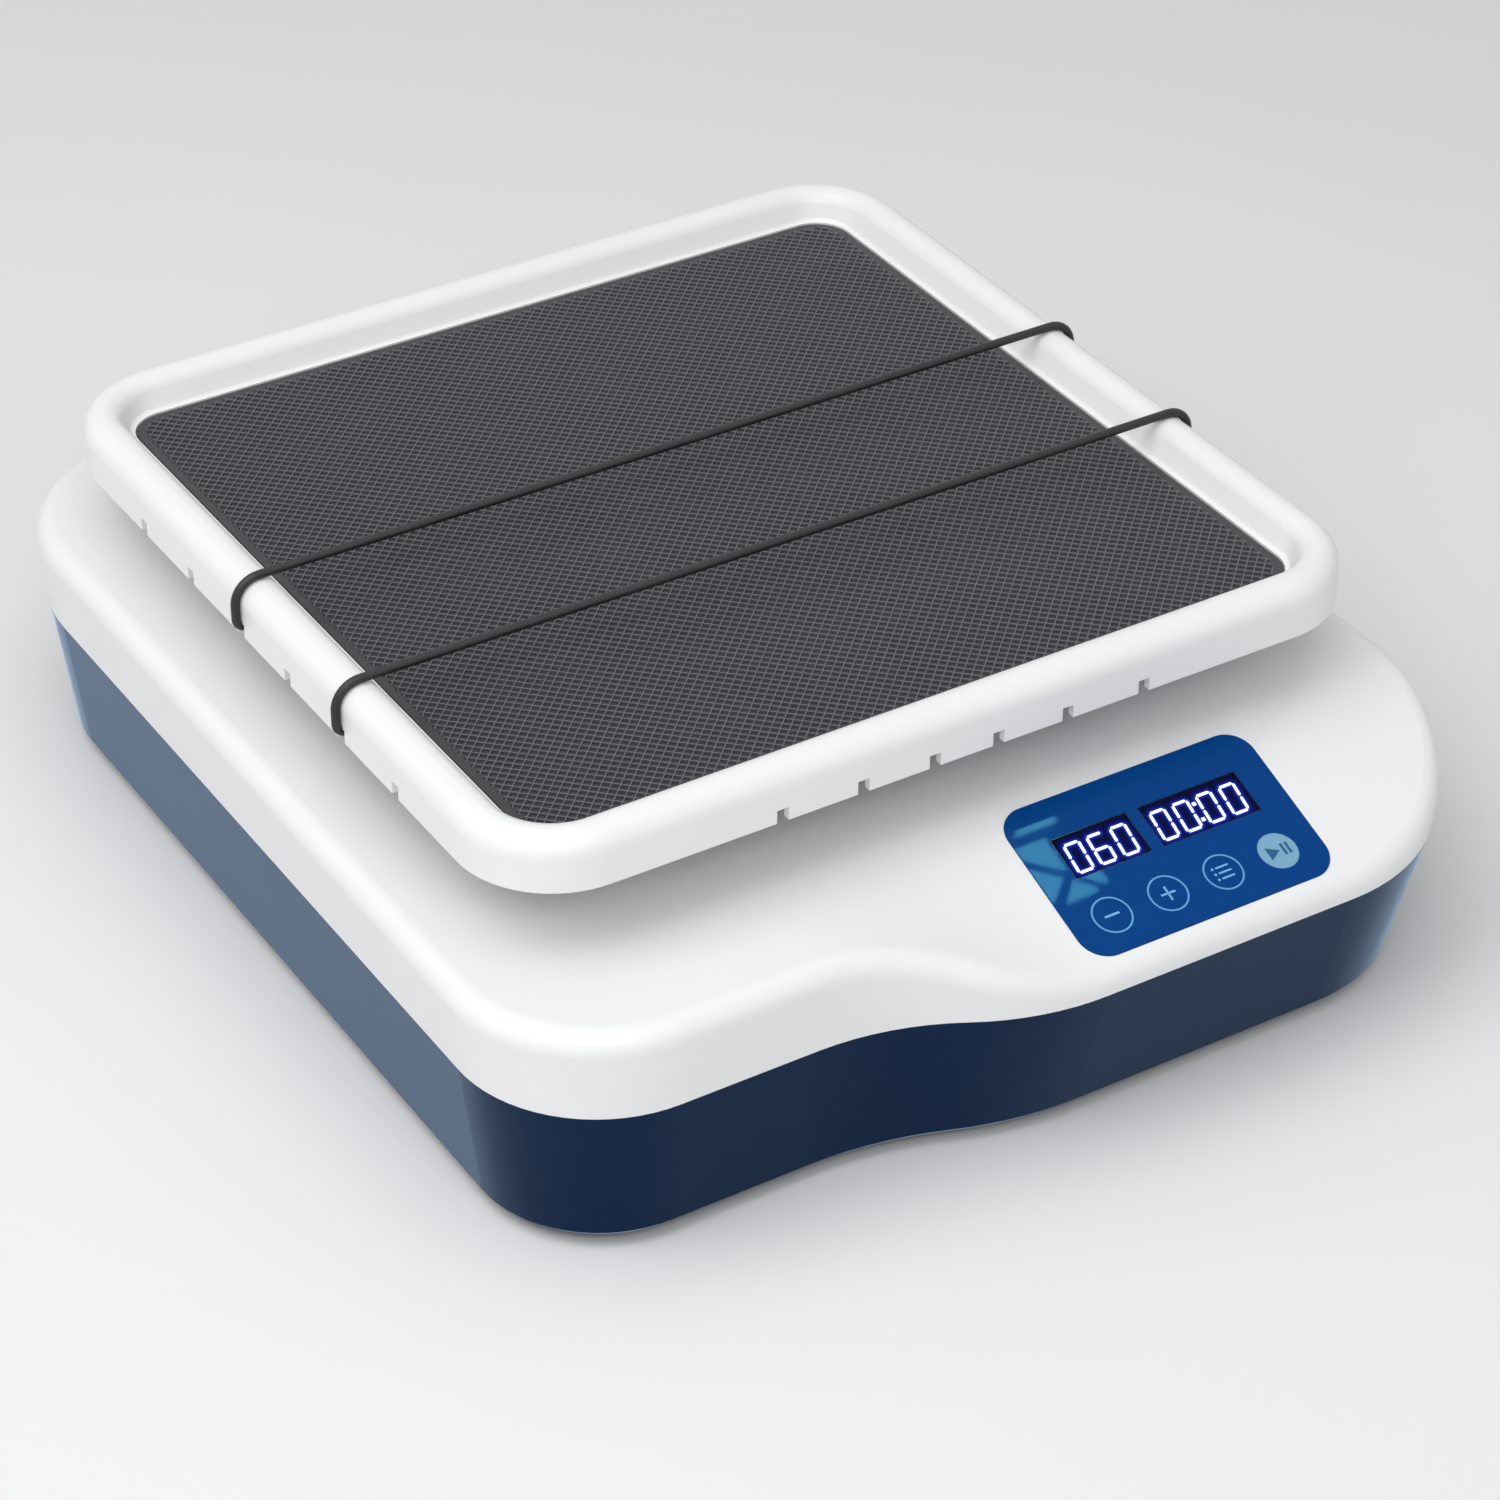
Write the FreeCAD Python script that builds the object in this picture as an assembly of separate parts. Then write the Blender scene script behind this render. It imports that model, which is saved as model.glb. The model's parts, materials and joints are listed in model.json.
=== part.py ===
import FreeCAD, Part
import math
import os

from FreeCAD import Placement, Rotation, Vector

# A bench-top linear shaker: a square tray with a ribbed mat that slides to and fro along X
# above a two-part moulded housing. Millimetres. X is the shaking direction, Y points to the
# back, Z is up. The origin is on the table, under the middle of the housing.

# Housing, seen from above at its widest level
housing_width = 338.0
housing_depth = 400.0
back_trim = 1.77
front_step = 22.5
front_step_at_floor = 16.0
front_step_start_x = -74.0
front_step_run = 86.0
front_left_radius = 49.0
front_right_radius = 66.0
back_radius = 57.0

# Housing levels and walls
foot_height = 4.0
tub_height = 50.0
cover_height = 30.0
wall = 3.0
cover_draft = 2.5
tub_draft = 6.0
tub_bottom_chamfer = 2.5
cover_edge_radius = 6.5
lip_height = 4.0
lip_root = 4.0
lip_thickness = 1.6
seam_gap = 0.25

# Control slope at the right of the front
slope_angle = 19.7
slope_length = 67.0
slope_bend = 12.0
blend_sections = 8

# Tray, mat and holding bands
tray_centre_y = 14.5
tray_gap = 25.0
tray_size = 306.0
tray_height = 18.0
tray_radius = 32.0
tray_wall = 2.5
tray_floor = 2.0
rim_crest_radius = 7.0
rim_width = 16.0
rim_slope_run = 5.0
rim_inner_radius = 6.3
rim_cove_radius = 1.6
rim_channel_depth = 8.0
mat_size = 271.0
mat_thickness = 2.0
mat_radius = 12.5
mat_lift = 7.0
mat_gap = 0.3
mat_recess_depth = 1.6
tray_screw_sink = 1.5
tray_screw_grip = 12.0
tray_boss_margin = 4.0
tray_rib_thickness = 2.0
tray_rib_places = (-120.0, -70.0, -30.0, 30.0, 70.0, 120.0)
notch_width = 4.0
notch_height = 4.5
notch_places_front = (11.2, 36.1, 63.8)
notch_places_side = (15.4, 50.5, 84.0)
band_offsets = (notch_places_side[0], -notch_places_side[1])
band_diameter = 2.8
band_clearance = 0.15
band_tuck_radius = 3.2

# Slide: rods, supports, bearing blocks and carriage
stroke = 10.0
rod_diameter = 12.0
rod_length = 280.0
rod_end_chamfer = 1.0
rod_spacing = 150.0
rod_centre_above_chassis = 38.0
support_spacing = 256.0
support_length = 14.0
support_foot_width = 42.0
support_foot_height = 6.0
support_neck_width = 20.0
support_top_above_rod = 12.0
support_chamfer = 3.0
support_slit = 1.5
support_screw_spacing = 32.0
block_spacing = 120.0
block_length = 36.0
block_width = 42.0
block_below_rod = 13.0
block_above_rod = 15.0
block_chamfer = 3.0
block_screw_spacing_x = 26.0
block_screw_offset_y = 15.25
block_screw_depth = 10.0
bushing_diameter = 21.0
bushing_length = 30.0
bushing_running_gap = 0.04
bushing_chamfer = 0.8
carriage_length = 216.0
carriage_width = 212.0
carriage_thickness = 4.0
carriage_radius = 12.0
carriage_window_length = 60.0
carriage_window_width = 46.0
carriage_window_x = 60.0
carriage_window_radius = 10.0
post_spacing_x = 190.0
post_spacing_y = 190.0
post_diameter = 16.0
post_bore_depth = 14.0
post_chamfer = 1.0

# Grommets round the posts, in slots of the cover
grommet_running_gap = 1.5
grommet_wall = 1.6
grommet_flange = 3.0
grommet_flange_thickness = 1.5

# Drive: motor, bridge, eccentric, roller and yoke
crank_radius = 5.0
motor_diameter = 58.0
motor_length = 30.0
motor_boss_diameter = 22.0
motor_boss_height = 1.2
motor_screw_circle = 44.0
motor_screw_hole_depth = 7.0
motor_edge_radius = 2.0
motor_bore_share = 0.333
shaft_in_motor_share = 0.6
shaft_diameter = 8.0
shaft_running_gap = 0.05
bridge_length = 84.0
bridge_width = 76.0
bridge_height = 35.0
bridge_sheet = 3.0
bridge_foot = 14.0
bridge_screw_spacing = 52.0
bridge_fold_radius = 2.5
hub_diameter = 34.0
hub_height = 6.0
hub_above_bridge = 2.0
journal_diameter = 8.0
journal_shoulder = 1.5
journal_end = 1.0
grub_screw_diameter = 3.9
grub_hole_diameter = 4.0
roller_diameter = 22.0
roller_height = 7.0
roller_running_gap = 0.03
roller_lift = 0.5
roller_chamfer = 0.5
circlip_thickness = 0.8
circlip_lip = 2.0
circlip_seat = 0.6
circlip_opening = 3.2
yoke_slot_play = 1.2
yoke_length = 58.0
yoke_width = 64.0
yoke_slot_end_gap = 1.5
yoke_screw_spacing_x = 42.0
yoke_screw_spacing_y = 48.0
yoke_radius = 4.0
yoke_below_roller = 0.2

# Chassis
chassis_length = 280.0
chassis_width = 216.0
chassis_thickness = 3.0
chassis_above_floor = 5.0
chassis_corner_radius = 10.0
chassis_boss_diameter = 10.0
chassis_screw_inset = 8.0
chassis_window_length = 70.0
chassis_window_width = 60.0
chassis_window_x = 86.0
chassis_window_radius = 12.0

# Air slots in the floor
vent_rows_y = (-41.0, 74.0)
vent_count = 11
vent_pitch = 10.0
vent_width = 3.0
vent_length = 34.0

# Feet and the screws that hold the housing together
foot_diameter = 22.0
foot_taper = 2.0
foot_recess = 1.5
foot_well_margin = 0.6
foot_inset_front_left = (49.0, 45.5)
foot_inset_front_right = (47.0, 48.0)
foot_inset_back = (47.0, 48.23)
column_diameter = 12.0
column_inset_front_left = (23.0, 65.5)
column_inset_front_step = (16.0, 21.5)
column_inset_front_right = (45.0, 30.0)
column_inset_side_right = (19.0, 100.0)
column_inset_back = (23.0, 48.23)
column_screw_seat = 18.0
cover_screw_length = 42.0
screw_gap = 0.1
fit_gap = 0.02

# Control panel, measured along and up the slope from its front left corner
panel_inset_x = 158.6
panel_inset_y = 8.0
panel_width = 91.0
panel_height = 57.0
panel_radius = 9.0
panel_thickness = 1.2
panel_proud = 0.4
window_height = 15.4
window_front = 27.8
speed_window_left = 11.7
speed_window_width = 27.5
timer_window_left = 43.6
timer_window_width = 36.2
window_gap = 0.15
display_opening_margin = 1.5
key_first_x = 14.6
key_pitch = 20.4
key_y = 12.6
key_diameter = 12.0
key_gap = 0.2
key_flange = 1.2
key_flange_thickness = 1.0
key_shelf_gap = 0.1
key_stem_diameter = 4.0
key_travel = 0.4
key_names = ("minus", "plus", "mode", "start")
board_depth = 10.0
board_thickness = 1.6
board_margin_x = 1.0
board_front = 3.0
board_back = 53.0
board_screw_inset = 3.6
board_post_diameter = 5.0
board_screw_grip = 5.0
switch_size = 6.0
switch_height = 3.4
plunger_diameter = 3.4
plunger_height = 1.0

# Back of the housing: connector recess, mains inlet and rocker switch
recess_left_x = -118.0
recess_right_x = -14.0
recess_bottom = 13.0
recess_top = 46.0
recess_depth = 12.23
recess_wall = 3.0
inlet_x = -84.0
switch_x = -34.0
connector_z = 29.5
inlet_flange_length = 50.0
inlet_flange_height = 22.6
inlet_flange_thickness = 2.5
inlet_flange_radius = 4.0
inlet_body_length = 28.0
inlet_body_height = 20.4
inlet_body_depth = 24.0
inlet_cavity_length = 24.6
inlet_cavity_height = 16.6
inlet_cavity_depth = 17.0
inlet_cavity_chamfer = 4.0
inlet_pin_pitch = 7.0
inlet_pin_thickness = 2.0
inlet_pin_height = 4.0
inlet_pin_length = 15.0
inlet_earth_drop = 3.6
inlet_pin_row_lift = 1.5
inlet_screw_spacing = 40.0
rocker_frame_width = 15.0
rocker_frame_height = 21.0
rocker_frame_thickness = 2.0
rocker_frame_radius = 1.5
rocker_lug = (0.8, 4.8, 6.0)
rocker_lug_spacing = (6.0, 10.0)
rocker_body_margin = 1.0
rocker_body_depth = 12.0
rocker_cavity_depth = 8.0
rocker_wall = 1.3
rocker_side_gap = 0.3
rocker_end_gap = 0.4
rocker_pivot_lift = 0.6
rocker_pin_diameter = 2.5
rocker_pin_length = 1.0
rocker_pin_gap = 0.05
rocker_tilt = 8.0
rocker_middle_height = 2.2
rocker_tip_height = 3.4
rocker_depth = 3.0

# Electronics inside the tub: each board's inset from the right and the back, length and width
supply_board_inset = (167.0, 48.23)
supply_board_size = (108.0, 40.0)
drive_board_inset = (71.0, 51.23)
drive_board_size = (68.0, 38.0)
supply_core = (28.0, 28.0, 22.0)
supply_core_offset = -16.0
supply_bobbin = (34.0, 16.0, 16.0)
supply_bobbin_lift = 3.0
supply_can = (15.0, 25.0)
supply_can_offset = 16.0
supply_can_spacing = 19.0
supply_can_edge = 1.5
supply_sink = (14.0, 16.0, 20.0)
supply_sink_offset = 37.0
supply_sink_shift = -4.0
supply_sink_back = 2.5
supply_fin_count = 4
supply_fin = 1.4
supply_terminal = (7.0, 18.0, 9.0)
supply_terminal_inset = 8.0
drive_chip = (16.0, 16.0, 2.0)
drive_terminal = (5.4, 7.0, 9.0)
drive_terminal_count = 5
drive_terminal_pitch = 6.0
drive_terminal_inset = (10.0, 1.0)
drive_can = (8.0, 12.0)
drive_can_offset = 20.0
drive_can_spacing = 14.0
circuit_board_lift = 5.0
circuit_board_inset = 4.0
circuit_post_diameter = 6.0

# Screws: head diameter, head height, shank diameter, hexagon across flats
tiny_screw = (4.0, 1.6, 2.2, 1.3)
small_screw = (5.5, 2.2, 3.0, 2.0)
medium_screw = (7.0, 3.0, 4.0, 2.5)
large_screw = (8.5, 4.0, 5.0, 3.0)
yoke_screw_grip = 7.0
motor_screw_grip = 6.0
circuit_screw_grip = 5.0
inlet_screw_length = 7.0

# Levels worked out from the sizes above
tub_bottom_z = foot_height
seam_z = tub_bottom_z + tub_height
top_z = seam_z + cover_height
tray_bottom_z = top_z + tray_gap
tray_crest_z = tray_bottom_z + tray_height
chassis_z = tub_bottom_z + wall + chassis_above_floor
chassis_top_z = chassis_z + chassis_thickness
rod_z = chassis_top_z + rod_centre_above_chassis
carriage_z = rod_z + block_above_rod
carriage_top_z = carriage_z + carriage_thickness
bridge_z = chassis_top_z + bridge_height
hub_z = bridge_z + hub_above_bridge
journal_z = hub_z + hub_height
roller_z = journal_z + roller_lift
mat_rest_z = tray_bottom_z + mat_lift
mat_top_z = mat_rest_z + mat_thickness
tray_floor_z = mat_rest_z - tray_floor
ledge_z = mat_rest_z + mat_recess_depth

# Outline values worked out from the sizes above
half_width = housing_width / 2
back_y = housing_depth / 2 - back_trim
panel_side_y = -housing_depth / 2
left_front_y = panel_side_y + front_step
slope_start_y = panel_side_y + slope_length
panel_left_x = half_width - panel_inset_x
panel_front_y = panel_side_y + panel_inset_y
recess_floor_y = back_y - recess_depth
foot_places = (
    (-half_width + foot_inset_front_left[0], left_front_y + foot_inset_front_left[1]),
    (half_width - foot_inset_front_right[0], panel_side_y + foot_inset_front_right[1]),
    (-half_width + foot_inset_back[0], back_y - foot_inset_back[1]),
    (half_width - foot_inset_back[0], back_y - foot_inset_back[1]),
)
column_places = (
    (-half_width + column_inset_front_left[0], left_front_y + column_inset_front_left[1]),
    (front_step_start_x + column_inset_front_step[0], left_front_y + column_inset_front_step[1]),
    (half_width - column_inset_front_right[0], panel_side_y + column_inset_front_right[1]),
    (half_width - column_inset_side_right[0], panel_side_y + column_inset_side_right[1]),
    (-half_width + column_inset_back[0], back_y - column_inset_back[1]),
    (half_width - column_inset_back[0], back_y - column_inset_back[1]),
)
supply_board = (half_width - supply_board_inset[0], back_y - supply_board_inset[1]) + supply_board_size
drive_board_place = (half_width - drive_board_inset[0], back_y - drive_board_inset[1]) + drive_board_size
tray_half = tray_size / 2
bed_half = tray_half - rim_width
bed_radius = mat_radius + bed_half - mat_size / 2
crest_half = bed_half + rim_slope_run
crest_inner_radius = tray_radius - tray_half + crest_half
board_z = tub_bottom_z + wall + circuit_board_lift
slope_tangent = math.tan(math.radians(slope_angle))
reach = housing_width


def on_circle(centre, radius, degrees, z):
    angle = math.radians(degrees)
    return Vector(centre[0] + radius * math.cos(angle), centre[1] + radius * math.sin(angle), z)


def arc(centre, radius, start, end, z):
    middle = on_circle(centre, radius, (start + end) / 2, z)
    ends = (on_circle(centre, radius, start, z), on_circle(centre, radius, end, z))
    return Part.Arc(ends[0], middle, ends[1]).toShape()


def closed_through(arcs):
    """One closed wire: the arcs in order, with a straight line wherever two of them don't meet."""
    edges = []
    for index, piece in enumerate(arcs):
        edges.append(piece)
        start = piece.Vertexes[-1].Point
        end = arcs[(index + 1) % len(arcs)].Vertexes[0].Point
        if start.distanceToPoint(end) > 1e-6:
            edges.append(Part.LineSegment(start, end).toShape())
    return Part.Wire(Part.__sortEdges__(edges))


def box(x0, x1, y0, y1, z0, z1):
    return Part.makeBox(x1 - x0, y1 - y0, z1 - z0, Vector(x0, y0, z0))


def block_on(x, y, size, z):
    """A block of the given length, width and height that stands at z, centred on x and y."""
    return box(x - size[0] / 2, x + size[0] / 2, y - size[1] / 2, y + size[1] / 2, z, z + size[2])


def rod_up(x, y, diameter, z0, z1):
    return Part.makeCylinder(diameter / 2, z1 - z0, Vector(x, y, z0))


def rod_along_x(diameter, x0, x1, y, z):
    return Part.makeCylinder(diameter / 2, x1 - x0, Vector(x0, y, z), Vector(1, 0, 0))


def round_rectangle(length, width, radius, x=0.0, y=0.0, z=0.0):
    """A flat closed wire with four round corners, centred at x, y."""
    dx = length / 2 - radius
    dy = width / 2 - radius
    corners = ((x + dx, y + dy, 0), (x - dx, y + dy, 90), (x - dx, y - dy, 180), (x + dx, y - dy, 270))
    return closed_through([arc((cx, cy), radius, a, a + 90, z) for cx, cy, a in corners])


def slab(wire, height):
    return Part.Face(wire).extrude(Vector(0, 0, height))


def join(shapes):
    return shapes[0].fuse(shapes[1:]).removeSplitter()


def group(shapes):
    return Part.makeCompound(shapes)


def screw(kind, length, x, y, z, pointing=-1):
    """A cap screw. z is the seat of its head, and its shank points down (-1) or up (+1)."""
    head_diameter, head_height, shank_diameter, socket = kind
    head = Part.makeCylinder(head_diameter / 2, head_height)
    shank = Part.makeCylinder(shank_diameter / 2, length, Vector(0, 0, -length))
    corner = socket / math.sqrt(3)
    ring = [on_circle((0, 0), corner, 60 * side, head_height * 0.45) for side in range(7)]
    hexagon = Part.Face(Part.makePolygon(ring)).extrude(Vector(0, 0, head_height))
    made = join([head, shank]).cut(hexagon)
    if pointing > 0:
        made.rotate(Vector(0, 0, 0), Vector(1, 0, 0), 180)
    made.translate(Vector(x, y, z))
    return made


# Housing forms

def outline(inset, step, z):
    """The housing's outline from above: round corners and the S-shaped step in its front."""
    turn = 2 * math.atan(step / front_step_run)
    radius = front_step_run / (2 * math.sin(turn))
    degrees = math.degrees(turn)
    end_x = front_step_start_x + front_step_run
    front_y = left_front_y - step
    back_centre_y = back_y - back_radius
    arcs = [
        arc((-half_width + back_radius, back_centre_y), back_radius - inset, 90, 180, z),
        arc((-half_width + front_left_radius, left_front_y + front_left_radius),
            front_left_radius - inset, 180, 270, z),
        arc((front_step_start_x, left_front_y - radius), radius + inset, 90, 90 - degrees, z),
        arc((end_x, front_y + radius), radius - inset, 270 - degrees, 270, z),
        arc((half_width - front_right_radius, front_y + front_right_radius),
            front_right_radius - inset, 270, 360, z),
        arc((half_width - back_radius, back_centre_y), back_radius - inset, 0, 90, z),
    ]
    return closed_through(arcs)


def cover_sides(inset):
    """The drafted wall of the cover: a loft that leans in towards the seam."""
    above = cover_edge_radius
    lean = cover_draft / cover_height
    low = outline(inset + cover_draft, front_step, seam_z)
    high = outline(inset - lean * above, front_step, top_z + above)
    return Part.makeLoft([low, high], True, True)


def slope_profile(x, share, lowered):
    """The cover's top line at one x, seen from the side; share is how much of the slope it has."""
    level = top_z - lowered
    fall = share * slope_tangent
    far_y = -reach
    start = Vector(x, slope_start_y + slope_bend, level)
    corner = Vector(x, slope_start_y, level)
    after = Vector(x, slope_start_y - slope_bend, level - fall * slope_bend)
    far = Vector(x, far_y, level - fall * (slope_start_y - far_y))
    bend = Part.BezierCurve()
    bend.setPoles([start, corner, after])
    floor_far = Vector(x, far_y, -reach)
    floor_start = Vector(x, start.y, -reach)
    sides = [(after, far), (far, floor_far), (floor_far, floor_start), (floor_start, start)]
    return Part.Wire([bend.toShape()] + [Part.LineSegment(a, b).toShape() for a, b in sides])


def under_the_top(lowered):
    """Everything below the cover's top face: flat, with the control slope blended in at the right."""
    end_x = front_step_start_x + front_step_run
    sections = []
    for index in range(blend_sections + 1):
        part = index / blend_sections
        smooth = part * part * (3 - 2 * part)
        sections.append(slope_profile(front_step_start_x + front_step_run * part, smooth, lowered))
    blend = Part.makeLoft(sections, True, False)
    flat = Part.Face(slope_profile(-reach, 0, lowered)).extrude(Vector(reach + front_step_start_x, 0, 0))
    slope = Part.Face(slope_profile(end_x, 1, lowered)).extrude(Vector(reach - end_x, 0, 0))
    rear = box(-reach, reach, slope_start_y + slope_bend, reach, -reach, top_z - lowered)
    return join([flat, blend, slope, rear])


def faces_of_edge(shape, edge):
    point = edge.valueAt((edge.FirstParameter + edge.LastParameter) / 2)
    rises = []
    for face in shape.ancestorsOfType(edge, Part.Face):
        u, v = face.Surface.parameter(point)
        rises.append(face.normalAt(u, v).z)
    return rises


def top_edges(shape):
    """The edges where a face that looks up meets a wall."""
    found = []
    for edge in shape.Edges:
        rises = faces_of_edge(shape, edge)
        if len(rises) == 2 and max(rises) > 0.8 and abs(min(rises)) < 0.5:
            found.append(edge)
    return found


def cover_outer():
    body = cover_sides(0).common(under_the_top(0)).Solids[0]
    return body.makeFillet(cover_edge_radius, top_edges(body))


def post_places():
    dx = post_spacing_x / 2
    dy = post_spacing_y / 2
    return [(x, tray_centre_y + y) for x in (-dx, dx) for y in (-dy, dy)]


def slot_size(margin):
    """Length and width of the space round a tray post over its whole stroke."""
    around = post_diameter + 2 * (grommet_running_gap + margin)
    return around + stroke, around


def panel_frame():
    """Where the control panel lies: x to the right, y up the slope, z out of it."""
    z = top_z - slope_tangent * (slope_start_y - panel_front_y)
    corner = Vector(panel_left_x, panel_front_y, z)
    return Placement(corner, Rotation(Vector(1, 0, 0), slope_angle))


def on_panel(shape):
    placed = shape.copy()
    placed.Placement = panel_frame().multiply(placed.Placement)
    return placed


def display_opening():
    """The rectangular opening under the two display windows."""
    margin = display_opening_margin
    right = timer_window_left + timer_window_width
    return (speed_window_left - margin, right + margin,
            window_front - margin, window_front + window_height + margin)


def key_centres():
    return [(key_first_x + index * key_pitch, key_y) for index in range(len(key_names))]


def board_screw_places():
    left = board_margin_x + board_screw_inset
    right = panel_width - board_margin_x - board_screw_inset
    top = board_back - board_screw_inset
    middle = (display_opening()[2] + key_y + key_diameter / 2) / 2
    return [(left, top), (right, top), (left, middle), (right, middle)]


def top_cover():
    outer = cover_outer()
    inner = cover_sides(wall).common(under_the_top(wall))
    shell = outer.cut(inner)
    bosses = []
    for x, y in column_places:
        bosses.append(rod_up(x, y, column_diameter, seam_z, top_z).common(outer))
    screw_posts = []
    for x, y in board_screw_places():
        post = on_panel(rod_up(x, y, board_post_diameter, -board_depth, -wall / 2))
        screw_posts.append(post)
    shell = join([shell] + bosses + screw_posts)
    cuts = []
    shank = medium_screw[2] + 2 * screw_gap
    for x, y in column_places:
        tip = tub_bottom_z + column_screw_seat + cover_screw_length + 1
        cuts.append(rod_up(x, y, shank, seam_z - 1, tip))
    length, width = slot_size(grommet_wall)
    for x, y in post_places():
        slot = round_rectangle(length, width, width / 2, x, y, top_z - 2 * wall)
        cuts.append(slab(slot, 3 * wall))
    recess = round_rectangle(panel_width + 2 * window_gap, panel_height + 2 * window_gap,
                             panel_radius + window_gap, panel_width / 2, panel_height / 2,
                             panel_proud - panel_thickness)
    cuts.append(on_panel(slab(recess, 2 * wall)))
    x0, x1, y0, y1 = display_opening()
    cuts.append(on_panel(box(x0, x1, y0, y1, -2 * wall, wall)))
    flange = key_diameter + 2 * key_flange + 2 * key_gap
    for x, y in key_centres():
        cuts.append(on_panel(rod_up(x, y, flange, -2 * wall, wall)))
    board_shank = tiny_screw[2] + 2 * screw_gap
    for x, y in board_screw_places():
        cuts.append(on_panel(rod_up(x, y, board_shank, -board_depth - 1, -wall)))
    return shell.cut(cuts)


def tub_sections(inset):
    """The tub's outlines from its floor to the seam; the front step is smaller at the floor."""
    lowest = outline(inset + cover_draft + tub_draft + tub_bottom_chamfer, front_step_at_floor,
                     tub_bottom_z)
    low = outline(inset + cover_draft + tub_draft, front_step_at_floor,
                  tub_bottom_z + tub_bottom_chamfer)
    high = outline(inset + cover_draft, front_step, seam_z)
    return lowest, low, high


def tub_lip():
    """The lip inside the seam: a root on the tub's wall and a tongue that centres the cover."""
    at_wall = wall + cover_draft
    root = slab(outline(at_wall - wall / 3, front_step, seam_z - lip_root), lip_root)
    tongue = slab(outline(at_wall + seam_gap, front_step, seam_z), lip_height)
    hollow = slab(outline(at_wall + seam_gap + lip_thickness, front_step, seam_z - lip_root - 1),
                  lip_root + lip_height + 2)
    return join([root, tongue]).cut(hollow)


def connector_recess():
    """The recess in the back wall, and the thicker shell round it, seen as a solid."""
    hollow = box(recess_left_x, recess_right_x, recess_floor_y, back_y + 1, recess_bottom, recess_top)
    shell = box(recess_left_x - recess_wall, recess_right_x + recess_wall,
                recess_floor_y - recess_wall, back_y, recess_bottom - recess_wall,
                recess_top + recess_wall)
    return hollow, shell


def base_tub():
    lowest, low, high = tub_sections(0)
    outer = Part.makeLoft([lowest, low, high], True, True)
    _, low_inside, high_inside = tub_sections(wall)
    inner = Part.makeLoft([low_inside, high_inside], True, True)
    inner = inner.cut(box(-reach, reach, -reach, reach, 0, tub_bottom_z + wall))
    shell = outer.cut(inner)
    recess, recess_shell = connector_recess()
    columns = [rod_up(x, y, column_diameter, tub_bottom_z, seam_z) for x, y in column_places]
    feet_pads = [rod_up(x, y, foot_diameter + 2 * wall, tub_bottom_z, tub_bottom_z + 2 * wall)
                 for x, y in foot_places]
    bosses = [rod_up(x, y, chassis_boss_diameter, tub_bottom_z, chassis_z)
              for x, y in chassis_screw_places()]
    circuit_posts = [rod_up(x, y, circuit_post_diameter, tub_bottom_z, board_z)
                     for x, y in circuit_screw_places()]
    shell = join([shell, tub_lip(), recess_shell.common(outer)] + columns + feet_pads + bosses
                 + circuit_posts)
    cuts = [recess]
    head = medium_screw[0] + 4 * screw_gap
    shank = medium_screw[2] + 2 * screw_gap
    for x, y in column_places:
        seat = tub_bottom_z + column_screw_seat
        cuts.append(rod_up(x, y, head, tub_bottom_z - 1, seat))
        cuts.append(rod_up(x, y, shank, seat - 1, seam_z + 1))
    for x, y in foot_places:
        cuts.append(rod_up(x, y, foot_diameter + 2 * seam_gap, tub_bottom_z - 1,
                           tub_bottom_z + foot_recess))
        cuts.append(rod_up(x, y, shank, tub_bottom_z, tub_bottom_z + 2 * wall + 1))
    for x, y in chassis_screw_places():
        cuts.append(rod_up(x, y, shank, tub_bottom_z + wall / 2, chassis_z + 1))
    for x, y in circuit_screw_places():
        cuts.append(rod_up(x, y, tiny_screw[2] + 2 * screw_gap, tub_bottom_z + wall / 2, board_z + 1))
    for y in vent_rows_y:
        for index in range(vent_count):
            x = (index - (vent_count - 1) / 2) * vent_pitch
            slot = round_rectangle(vent_width, vent_length, vent_width / 2, x, y, tub_bottom_z - 1)
            cuts.append(slab(slot, wall + 2))
    cuts.append(wall_opening(inlet_x, inlet_body_length, inlet_body_height))
    cuts.append(wall_opening(switch_x, rocker_frame_width - 2 * rocker_body_margin,
                             rocker_frame_height - 2 * rocker_body_margin))
    for side in (-1, 1):
        hole = Part.makeCylinder(small_screw[2] / 2 + screw_gap, 3 * recess_wall,
                                 Vector(inlet_x + side * inlet_screw_spacing / 2,
                                        recess_floor_y - 2 * recess_wall, connector_z), Vector(0, 1, 0))
        cuts.append(hole)
    return shell.cut(cuts)


def wall_opening(x, width, height):
    """A cut through the recess's floor for a fitting of this width and height."""
    half_x = width / 2 + screw_gap
    half_z = height / 2 + screw_gap
    return box(x - half_x, x + half_x, recess_floor_y - 2 * recess_wall, recess_floor_y + 1,
               connector_z - half_z, connector_z + half_z)


def foot_screw_seat():
    return medium_screw[1] + foot_well_margin


def rubber_feet():
    feet = []
    for x, y in foot_places:
        top = tub_bottom_z + foot_recess
        foot = Part.makeCone(foot_diameter / 2 - foot_taper, foot_diameter / 2, top, Vector(x, y, 0))
        well = rod_up(x, y, medium_screw[0] + 2 * foot_well_margin, -1, foot_screw_seat())
        hole = rod_up(x, y, medium_screw[2] + 2 * screw_gap, -1, top + 1)
        feet.append(foot.cut([well, hole]))
    return group(feet)


def foot_screws():
    seat = foot_screw_seat()
    length = tub_bottom_z + 2 * wall - seat
    return group([screw(medium_screw, length, x, y, seat, 1) for x, y in foot_places])


def cover_screws():
    seat = tub_bottom_z + column_screw_seat
    return group([screw(medium_screw, cover_screw_length, x, y, seat, 1) for x, y in column_places])


# Circuit boards in the tub

def board_corners(place):
    x, y, length, width = place
    dx = length / 2 - circuit_board_inset
    dy = width / 2 - circuit_board_inset
    return [(x + side * dx, y + end * dy) for side in (-1, 1) for end in (-1, 1)]


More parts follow.
